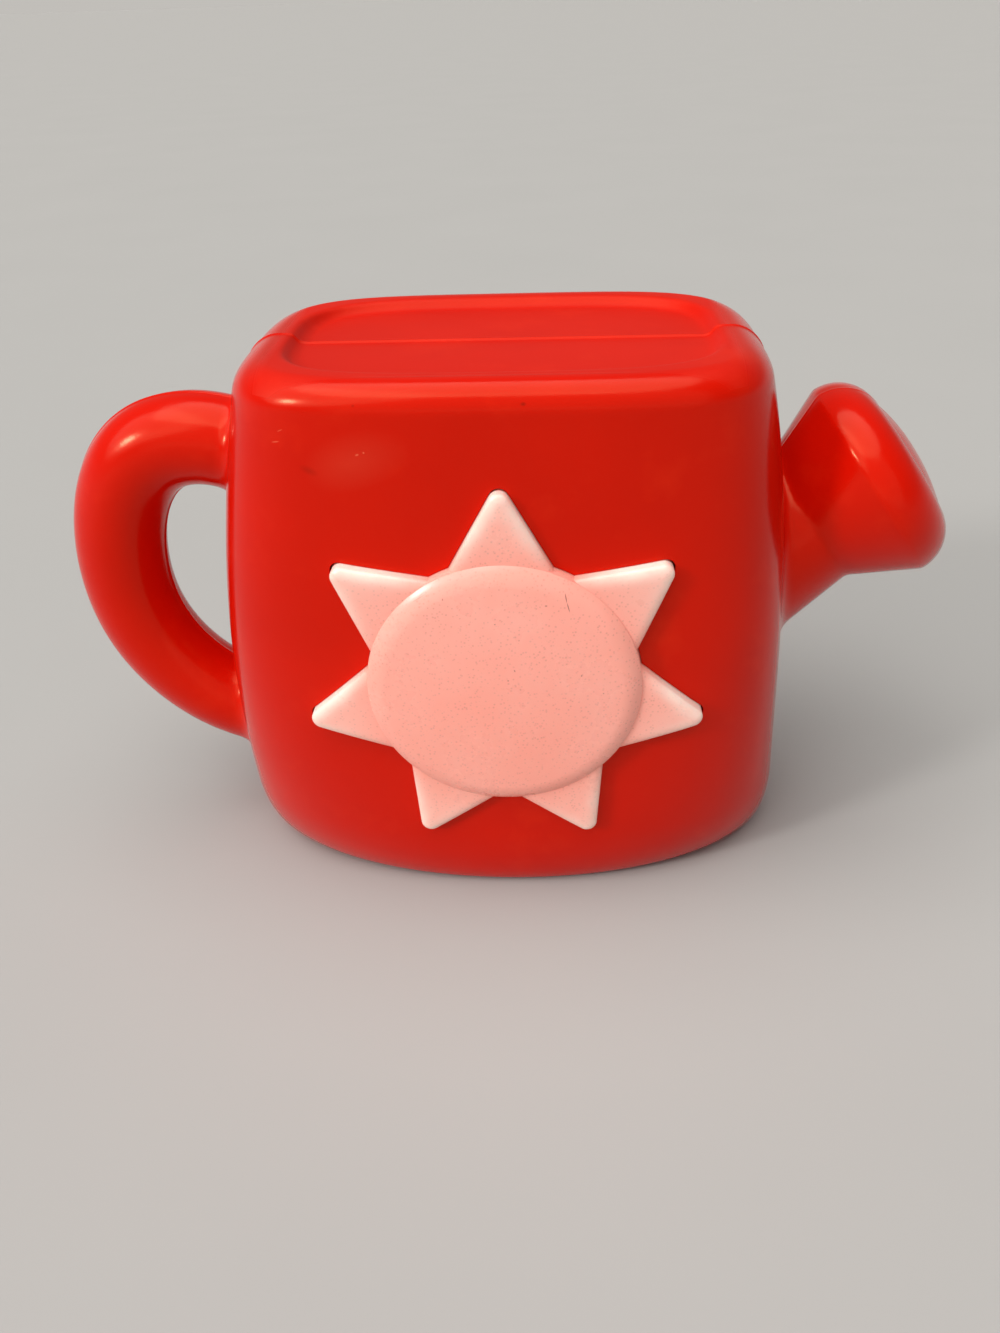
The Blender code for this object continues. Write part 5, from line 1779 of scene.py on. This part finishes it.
@dataclass(frozen=True)
class MouldedPlastic:
    """Moulded plastic with slow mottling, fine grain, dust specks, paler rubbing with painted sheen, marks
    and faint scuffs.
    """

    name: str
    colour: Colour
    deep: Colour
    pale: Colour
    roughness: Pair = (0.30, 0.42)
    specks: float = 0.0
    scuffs: float = 0.0
    grain: float = 0.02 * MM
    specular: float = 0.5
    tint: Colour = (1.0, 1.0, 1.0)
    glow: float = 0.0
    glow_colour: Colour = (1.0, 0.45, 0.35)
    glow_depth: float = 1.6 * MM
    # Paler colour where rubbing bares the edges, also standing for a painted highlight
    worn_and_lit: Colour | None = None
    marks: tuple[Mark, ...] = ()
    matte_box: tuple[Point, Point] | None = None
    matte: float = 0.5
    mottle_scale: float = 38.0
    mottle_range: Pair = (0.35, 0.68)
    scuff_scale: float = 70.0
    scuff_range: Pair = (0.56, 0.80)
    speck_scale: float = 1300.0
    speck_edge: Pair = (0.14, 0.34)
    speck_shade: float = 0.35
    patch_scale: float = 260.0
    patch_range: Pair = (0.35, 0.70)
    patch_least: float = 0.4
    # Unevenness of the paler rubbing and painted sheen
    wear_and_sheen_scale: float = 220.0
    wear_and_sheen_range: Pair = (0.3, 0.6)
    wear_and_sheen_least: float = 0.7
    gloss_scale: float = 75.0
    gloss_range: Pair = (0.35, 0.7)
    grain_scale: float = 900.0
    grain_strength: float = 0.4

    def material(self) -> bpy.types.Material:
        """Builds the nodes.

        Returns:
            The material.
        """
        bench = FinishBench(self.name)
        bench.give({
            "Base Color": self.painted(bench),
            "Roughness": self.gloss(bench),
            "Specular IOR Level": self.specular,
            "Specular Tint": rgba(self.tint),
        })
        if self.glow > 0:
            bench.give({
                "Subsurface Weight": self.glow,
                "Subsurface Radius": self.glow_colour,
                "Subsurface Scale": self.glow_depth,
            })
        bench.bump(bench.noise(self.grain_scale, 2.0), self.grain, self.grain_strength)
        return bench.material

    def painted(self, bench: FinishBench) -> Socket:
        """Colour: mottling, then scuffs, specks, paler rubbing with painted sheen, and marks over it.

        Args:
            bench: the material's bench.

        Returns:
            The colour.
        """
        slow = bench.span(bench.noise(self.mottle_scale), self.mottle_range, (0.0, 1.0))
        colour = bench.mix(slow, rgba(self.colour), rgba(self.deep))
        scuff = bench.span(bench.noise(self.scuff_scale, 4.0, 0.6), self.scuff_range, (0.0, self.scuffs))
        colour = bench.mix(scuff, colour, rgba(self.pale))
        if self.specks > 0:
            cells = bench.add("TexVoronoi", {"Vector": bench.place, "Scale": self.speck_scale})
            dot = bench.span(cells.outputs["Distance"], self.speck_edge, (1.0, 0.0))
            strength = (self.patch_least * self.specks, self.specks)
            patch = bench.span(bench.noise(self.patch_scale, 4.0, 0.7), self.patch_range, strength)
            shade = tuple(self.speck_shade * c for c in self.deep)
            colour = bench.mix(bench.maths("MULTIPLY", dot, patch), colour, rgba(shade))
        # Paler by the point attribute: edges bared by rubbing, and a painted highlight on the sun's edges
        # that face up
        if self.worn_and_lit:
            wear_and_sheen = bench.add("Attribute", attribute_name="wear_and_sheen").outputs["Fac"]
            uneven = bench.span(bench.noise(self.wear_and_sheen_scale), self.wear_and_sheen_range, (self.wear_and_sheen_least, 1.0))
            colour = bench.mix(bench.maths("MULTIPLY", wear_and_sheen, uneven), colour, rgba(self.worn_and_lit))
        for mark in self.marks:
            colour = bench.mix(bench.oval(mark), colour, rgba(mark.colour))
        return colour

    def gloss(self, bench: FinishBench) -> Socket:
        """Roughness: uneven between two values, and at least matte in a box.

        Args:
            bench: the material's bench.

        Returns:
            The roughness.
        """
        gloss = bench.span(bench.noise(self.gloss_scale, 5.0, 0.6), self.gloss_range, self.roughness)
        if self.matte_box:
            matte = bench.maths("MULTIPLY", bench.inside(*self.matte_box), self.matte)
            gloss = bench.maths("MAXIMUM", gloss, matte)
        return gloss


@dataclass(frozen=True)
class Metal:
    """Plated steel with fine brushing and slight tarnish."""

    name: str
    colour: Colour
    roughness: Pair = (0.22, 0.42)
    metallic: float = 1.0
    dull_share: float = 0.72
    dull_range: Pair = (0.45, 0.75)
    dull_most: float = 0.6
    tarnish_scale: float = 240.0
    tarnish_range: Pair = (0.3, 0.7)
    brush_scale: float = 2400.0
    brush_squeeze: Point = (1.0, 0.15, 1.0)
    brush_depth: float = 0.01 * MM
    brush_strength: float = 0.4

    def material(self) -> bpy.types.Material:
        """Builds the nodes.

        Returns:
            The material.
        """
        bench = FinishBench(self.name)
        tarnish = bench.noise(self.tarnish_scale, 4.0)
        dull = rgba(tuple(self.dull_share * c for c in self.colour))
        share = bench.span(tarnish, self.dull_range, (0.0, self.dull_most))
        bench.give({
            "Base Color": bench.mix(share, rgba(self.colour), dull),
            "Metallic": self.metallic,
            "Roughness": bench.span(tarnish, self.tarnish_range, self.roughness),
        })
        brushing = bench.noise(self.brush_scale, 2.0, 0.5, self.brush_squeeze)
        bench.bump(brushing, self.brush_depth, self.brush_strength)
        return bench.material


@dataclass(frozen=True)
class Laminate:
    """Green circuit laminate with lighter tracks in a lattice."""

    name: str
    colour: Colour
    track: Colour
    track_scale: float = 260.0
    track_edge: Pair = (0.04, 0.09)
    track_share: float = 0.8
    track_depth: float = 0.03 * MM
    track_strength: float = 0.6
    gloss_scale: float = 300.0
    gloss_range: Pair = (0.3, 0.7)
    roughness: Pair = (0.28, 0.42)

    def material(self) -> bpy.types.Material:
        """Builds the nodes.

        Returns:
            The material.
        """
        bench = FinishBench(self.name)
        inputs = {"Vector": bench.place, "Scale": self.track_scale}
        cells = bench.add("TexVoronoi", inputs, feature="DISTANCE_TO_EDGE")
        line = bench.span(cells.outputs["Distance"], self.track_edge, (self.track_share, 0.0))
        bench.give({
            "Base Color": bench.mix(line, rgba(self.colour), rgba(self.track)),
            "Roughness": bench.span(bench.noise(self.gloss_scale), self.gloss_range, self.roughness),
        })
        bench.bump(line, self.track_depth, self.track_strength)
        return bench.material


TOP_FACES = ((-44.5 * MM, -30.5 * MM, 109.0 * MM), (44.5 * MM, 30.5 * MM, 114.0 * MM))
BARE = (0.80, 0.14, 0.07)
GRIME = (0.16, 0.004, 0.001)
# Dark colour of two scratches on the disc's shoulder: painted shade where they break the glint there
GLINT_SCRATCH_SHADE = (0.40, 0.22, 0.18)
SCRATCHES = (
    Mark((-24.1 * MM, -34.0 * MM, 100.4 * MM), (0.4 * MM, 0.2 * MM), -20, BARE, 0.7),
    Mark((-22.9 * MM, -34.0 * MM, 100.8 * MM), (0.22 * MM, 0.22 * MM), 0, BARE, 0.7),
    Mark((-38.7 * MM, -31.0 * MM, 101.9 * MM), (0.9 * MM, 0.14 * MM), -12, BARE, 0.5),
    Mark((-37.6 * MM, -31.3 * MM, 104.0 * MM), (0.7 * MM, 0.12 * MM), -25, BARE, 0.4),
    Mark((-25.5 * MM, -34.0 * MM, 99.0 * MM), (11.0 * MM, 5.5 * MM), -15, BARE, 0.12, 0.0),
    Mark((-33.1 * MM, -32.9 * MM, 97.3 * MM), (2.0 * MM, 0.9 * MM), 20, GRIME, 0.35, 0.0),
    Mark((4.6 * MM, -33.9 * MM, 108.9 * MM), (0.6 * MM, 0.4 * MM), 0, GRIME, 0.6, 0.2),
    Mark((-24.0 * MM, -33.9 * MM, 108.9 * MM), (0.35 * MM, 0.3 * MM), 0, GRIME, 0.4, 0.2),
)
DISC_MARKS = (
    Mark((11.72 * MM, -38.8 * MM, 74.65 * MM), (0.13 * MM, 1.1 * MM), -10, strength=0.75),
    Mark((12.15 * MM, -38.8 * MM, 72.85 * MM), (0.11 * MM, 1.15 * MM), -15, strength=0.75),
    Mark((8.15 * MM, -38.8 * MM, 73.25 * MM), (0.28 * MM, 0.2 * MM)),
    Mark((-10.47 * MM, -38.8 * MM, 74.61 * MM), (0.18 * MM, 0.28 * MM)),
    Mark((-1.19 * MM, -38.8 * MM, 69.69 * MM), (0.2 * MM, 0.17 * MM)),
    Mark((2.21 * MM, -38.8 * MM, 59.92 * MM), (0.17 * MM, 0.32 * MM), -20),
    Mark((0.95 * MM, -38.8 * MM, 57.78 * MM), (0.24 * MM, 0.2 * MM)),
    Mark((14.65 * MM, -38.8 * MM, 58.56 * MM), (0.17 * MM, 0.22 * MM)),
    Mark((18.82 * MM, -38.8 * MM, 54.48 * MM), (0.18 * MM, 0.18 * MM)),
    # Two scratches across the shoulder's glint, painted dark as the shade they leave in it
    Mark((-15.0 * MM, -38.0 * MM, 74.4 * MM), (1.7 * MM, 0.12 * MM), -34, GLINT_SCRATCH_SHADE, 0.45),
    Mark((-14.2 * MM, -38.0 * MM, 75.3 * MM), (1.4 * MM, 0.10 * MM), -38, GLINT_SCRATCH_SHADE, 0.45),
)
FINISHES: dict[str, MouldedPlastic | Metal | Laminate] = {
    "red_plastic": MouldedPlastic(
        "red_moulded_plastic",
        colour=(0.585, 0.005, 0.0006),
        deep=(0.545, 0.004, 0.0004),
        pale=(0.66, 0.016, 0.003),
        roughness=(0.14, 0.23),
        scuffs=0.5,
        specular=0.33,
        tint=(1.0, 0.5, 0.25),
        marks=SCRATCHES,
        matte_box=TOP_FACES,
    ),
    "pink_plastic": MouldedPlastic(
        "pink_moulded_plastic",
        colour=(1.0, 0.41, 0.325),
        deep=(1.0, 0.365, 0.28),
        pale=(1.0, 0.50, 0.42),
        roughness=(0.27, 0.29),
        specks=0.36,
        scuffs=0.12,
        glow=0.3,
        # Paler ray edges and tips, partly rubbing and partly a painted highlight on the edges that face up
        worn_and_lit=(0.99, 0.78, 0.67),
        marks=DISC_MARKS,
    ),
    "grey_plastic": MouldedPlastic(
        "grey_moulded_plastic",
        colour=(0.32, 0.33, 0.34),
        deep=(0.27, 0.28, 0.29),
        pale=(0.4, 0.4, 0.4),
    ),
    "black_plastic": MouldedPlastic(
        "black_moulded_plastic",
        colour=(0.02, 0.02, 0.021),
        deep=(0.013, 0.013, 0.014),
        pale=(0.06, 0.06, 0.06),
    ),
    "epoxy": MouldedPlastic(
        "black_epoxy",
        colour=(0.012, 0.012, 0.012),
        deep=(0.006, 0.006, 0.006),
        pale=(0.03, 0.03, 0.03),
        roughness=(0.12, 0.22),
    ),
    "rubber": MouldedPlastic(
        "grey_rubber",
        colour=(0.50, 0.50, 0.48),
        deep=(0.43, 0.43, 0.41),
        pale=(0.6, 0.6, 0.58),
        roughness=(0.65, 0.8),
    ),
    "cone_paper": MouldedPlastic(
        "black_cone_paper",
        colour=(0.035, 0.035, 0.035),
        deep=(0.022, 0.022, 0.022),
        pale=(0.07, 0.07, 0.07),
        roughness=(0.85, 0.95),
        grain=0.06 * MM,
    ),
    "red_lead": MouldedPlastic(
        "red_lead_cover",
        colour=(0.50, 0.02, 0.015),
        deep=(0.42, 0.015, 0.01),
        pale=(0.6, 0.1, 0.08),
        roughness=(0.45, 0.6),
    ),
    "black_lead": MouldedPlastic(
        "black_lead_cover",
        colour=(0.02, 0.02, 0.02),
        deep=(0.012, 0.012, 0.012),
        pale=(0.05, 0.05, 0.05),
        roughness=(0.45, 0.6),
    ),
    "circuit_laminate": Laminate("green_laminate", (0.03, 0.16, 0.05), (0.09, 0.30, 0.11)),
    "steel": Metal("plated_steel", (0.62, 0.62, 0.60)),
    "magnet": Metal("dark_ferrite", (0.06, 0.06, 0.065), (0.5, 0.7), 0.3),
    "cell_jacket": Metal("cell_jacket", (0.45, 0.36, 0.12), (0.28, 0.4), 0.5),
}


class Wardrobe:
    """Materials by the record's slots, each made once."""

    def __init__(self, record: dict) -> None:
        """Reads which slot each node has."""
        self.slots = {row["node"]: row["material_slot"] for row in record["subparts"]}
        self.made: dict[str, bpy.types.Material] = {}

    def material(self, slot: str) -> bpy.types.Material:
        """The material of a slot.

        Args:
            slot: the slot's name.

        Returns:
            The material, made when it is first asked for.
        """
        if slot not in self.made:
            self.made[slot] = FINISHES[slot].material()
        return self.made[slot]

    def dress(self, piece: Piece, node: str) -> None:
        """Gives a piece its node's material, and no other."""
        piece.data.materials.clear()
        piece.data.materials.append(self.material(self.slots[node]))

    def hang(self, piece: Piece, node: str, body: str) -> None:
        """Dresses a new piece, rides it on a body and lets it stand for a node.

        Args:
            piece: the new piece.
            node: the node that it replaces.
            body: the body that it moves with.
        """
        self.dress(piece, node)
        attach(piece, body)
        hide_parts(node)
        LOG.info("%s: %d faces for %s", piece.name, len(piece.data.polygons), node)


# Studio


@dataclass(frozen=True)
class Lamp:
    """Far soft lamp.

    It has the direction to it, how wide it looks in degrees, and its light in watts a square metre.
    """

    name: str
    place: Point
    width: float
    power: float

    def build(self) -> None:
        """Adds the lamp, turned so that its own Z points away from the can."""
        light = bpy.data.lights.new(self.name, "SUN")
        light.angle = math.radians(self.width)
        light.energy = self.power
        made = bpy.data.objects.new(self.name, light)
        bpy.context.scene.collection.objects.link(made)
        back = np.array(self.place) / np.linalg.norm(self.place)
        side = np.cross([0.0, 1.0, 0.0], back)
        side /= np.linalg.norm(side)
        turn = Matrix(np.array([side, np.cross(back, side), back]).T.tolist())
        made.matrix_world = Matrix.Translation(self.place) @ turn.to_4x4()


@dataclass
class Studio:
    """Pale floor, soft lights and the camera at the photograph's angle."""

    camera_place: Point = (9.34 * MM, -208.74 * MM, 166.55 * MM)
    right: Point = (0.9988, 0.0392, -0.0300)
    down: Point = (-0.0047, -0.5290, -0.8486)
    ahead: Point = (-0.0491, 0.8477, -0.5282)
    focal_pixels: float = 1078.0
    photo_height: float = 1333.0
    sensor: float = 36.0
    clip_start: float = 0.01
    lamps: tuple[Lamp, ...] = (
        Lamp("key", (-0.60, -0.40, 0.69), 60.0, 1.3),
        Lamp("window", (-0.75, -0.50, 0.44), 9.0, 1.2),
        Lamp("sky", (-0.05, -0.12, 0.99), 62.0, 2.3),
        Lamp("front", (0.10, -0.90, 0.42), 80.0, 0.65),
    )
    ambient: Colour = (0.95, 0.97, 1.0)
    ambient_strength: float = 0.16
    backdrop: Colour = (0.535, 0.515, 0.485)
    backdrop_top: Colour = (0.22, 0.195, 0.155)
    backdrop_rise: Pair = (0.0, 0.26)
    floor_colour: Colour = (0.37, 0.357, 0.336)
    floor_mottle: float = 1.02
    floor_scale: float = 9.0
    floor_range: Pair = (0.3, 0.7)
    floor_roughness: float = 0.75
    floor_size: float = 400.0

    def build(self) -> None:
        """Sets up everything that isn't the toy."""
        self.floor()
        self.camera()
        for lamp in self.lamps:
            lamp.build()
        self.surround()
        bpy.context.scene.view_settings.view_transform = "Standard"

    def surround(self) -> None:
        """Even faint light all round, with a backdrop that the camera, gloss and glass see."""
        world = bpy.data.worlds.new("studio")
        bpy.context.scene.world = world
        world.use_nodes = True
        bench = NodeBench(world.node_tree)
        ambient = bench.tree.nodes["Background"]
        bench.feed(ambient.inputs["Color"], rgba(self.ambient))
        bench.feed(ambient.inputs["Strength"], self.ambient_strength)
        backdrop = bench.add("Background", {"Color": self.backdrop_shade(bench)})
        rays = bench.add("LightPath").outputs
        seen = rays["Is Camera Ray"]
        for kind in ("Is Glossy Ray", "Is Transmission Ray"):
            seen = bench.maths("MAXIMUM", seen, rays[kind])
        chosen = bench.add("MixShader", {0: seen, 1: ambient.outputs[0], 2: backdrop.outputs[0]})
        bench.feed(bench.tree.nodes["World Output"].inputs["Surface"], chosen.outputs[0])

    def backdrop_shade(self, bench: NodeBench) -> Socket:
        """Backdrop that is pale at the horizon and dimmer above, by the height of the direction looked in.

        Args:
            bench: the world's bench.

        Returns:
            The colour.
        """
        direction = bench.add("TexCoord").outputs["Generated"]
        height = bench.add("SeparateXYZ", {0: direction}).outputs["Z"]
        share = bench.span(height, self.backdrop_rise, (0.0, 1.0), interpolation_type="SMOOTHSTEP")
        return bench.mix(share, rgba(self.backdrop), rgba(self.backdrop_top))

    def floor(self) -> None:
        """Wide level floor at the base, with a faint mottle."""
        half = self.floor_size / 2
        corners = [(-half, -half, 0), (half, -half, 0), (half, half, 0), (-half, half, 0)]
        mesh = bpy.data.meshes.new("floor")
        mesh.from_pydata(corners, [], [(0, 1, 2, 3)])
        made = bpy.data.objects.new("floor", mesh)
        bpy.context.scene.collection.objects.link(made)
        bench = FinishBench("pale_floor")
        share = bench.span(bench.noise(self.floor_scale), self.floor_range, (0.0, 1.0))
        pale = tuple(min(self.floor_mottle * c, 1) for c in self.floor_colour)
        bench.give({
            "Base Color": bench.mix(share, rgba(self.floor_colour), rgba(pale)),
            "Roughness": self.floor_roughness,
        })
        mesh.materials.append(bench.material)

    def camera(self) -> None:
        """Camera with the photograph's place, turn and focal length."""
        lens = bpy.data.cameras.new("photo_camera")
        lens.lens = self.focal_pixels / self.photo_height * self.sensor
        lens.sensor_width = self.sensor
        lens.clip_start = self.clip_start
        made = bpy.data.objects.new("photo_camera", lens)
        bpy.context.scene.collection.objects.link(made)
        axes = np.array([self.right, -np.array(self.down), -np.array(self.ahead)]).T
        u, _, v = np.linalg.svd(axes)
        made.matrix_world = Matrix.Translation(self.camera_place) @ Matrix((u @ v).tolist()).to_4x4()
        bpy.context.scene.camera = made


# Assembly


def shorten(piece: Piece) -> None:
    """Gives a piece a mesh of its own.

    Args:
        piece: the piece.
    """
    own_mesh(piece)


def hang_case(wardrobe: Wardrobe) -> None:
    """Builds and hangs the two shells, the sun and the battery door.

    Args:
        wardrobe: the finishes.
    """
    form = CanForm()
    sun = SunForm(form)
    door = DoorForm(form)
    shells = CaseShells(form, sun, door)
    skin = form.skin("can_skin")
    for side, node in ((Side.FRONT, "front_shell"), (Side.BACK, "back_shell")):
        wardrobe.hang(shells.build(skin, side, "red_" + node), node, CASE)
    bpy.data.objects.remove(skin, do_unlink=True)
    wardrobe.hang(sun.build("pink_sun"), "sun_button", SUN)
    wardrobe.hang(door.build("red_door"), "battery_door", DOOR)


def hang_fittings(wardrobe: Wardrobe) -> None:
    """Builds and hangs the screws that show, the springs, the rubber dome and the cells.

    Args:
        wardrobe: the finishes.
    """
    screws = {f"case_screw_{number + 1}": CASE for number in range(CASE_SCREWS)}
    for node, body in {**screws, "door_screw": DOOR_FIXING}.items():
        wardrobe.hang(CrossScrew().build("cross_" + node, *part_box(node)), node, body)
    for number in range(BUTTON_SPRINGS):
        node = f"button_spring_{number + 1}"
        piece = CoilSpring().build("wound_" + node, *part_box(node))
        wardrobe.hang(piece, node, CASE)
        shorten(piece)
    node = "switch_dome"
    piece = RubberDome().build("rubber_" + node, *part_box(node))
    wardrobe.hang(piece, node, CASE)
    shorten(piece)
    for number, ends in ((1, CELL_SPRING_ENDS), (2, CELL_SPRING_ENDS[::-1])):
        node = f"battery_spring_{number}"
        spring = CoilSpring(turns=3, axis=Axis.X, ends=ends)
        wardrobe.hang(spring.build("wound_" + node, *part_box(node)), node, CASE)
    for number, nub in ((1, Nub.RIGHT), (2, Nub.LEFT)):
        node = f"battery_{number}"
        wardrobe.hang(BatteryCell().build("turned_" + node, *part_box(node), nub), node, CASE)


def main() -> None:
    """Builds every piece in order, dresses it and reports it."""
    logging.basicConfig(level=logging.INFO, format="%(name)s %(message)s")
    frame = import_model()
    Studio().build()
    wardrobe = Wardrobe(frame["record"])
    hang_case(wardrobe)
    hang_fittings(wardrobe)
    for node, piece in frame["nodes"].items():
        wardrobe.dress(piece, node)
    LOG.info("%d nodes dressed", len(frame["nodes"]))


if __name__ == "__main__":
    main()
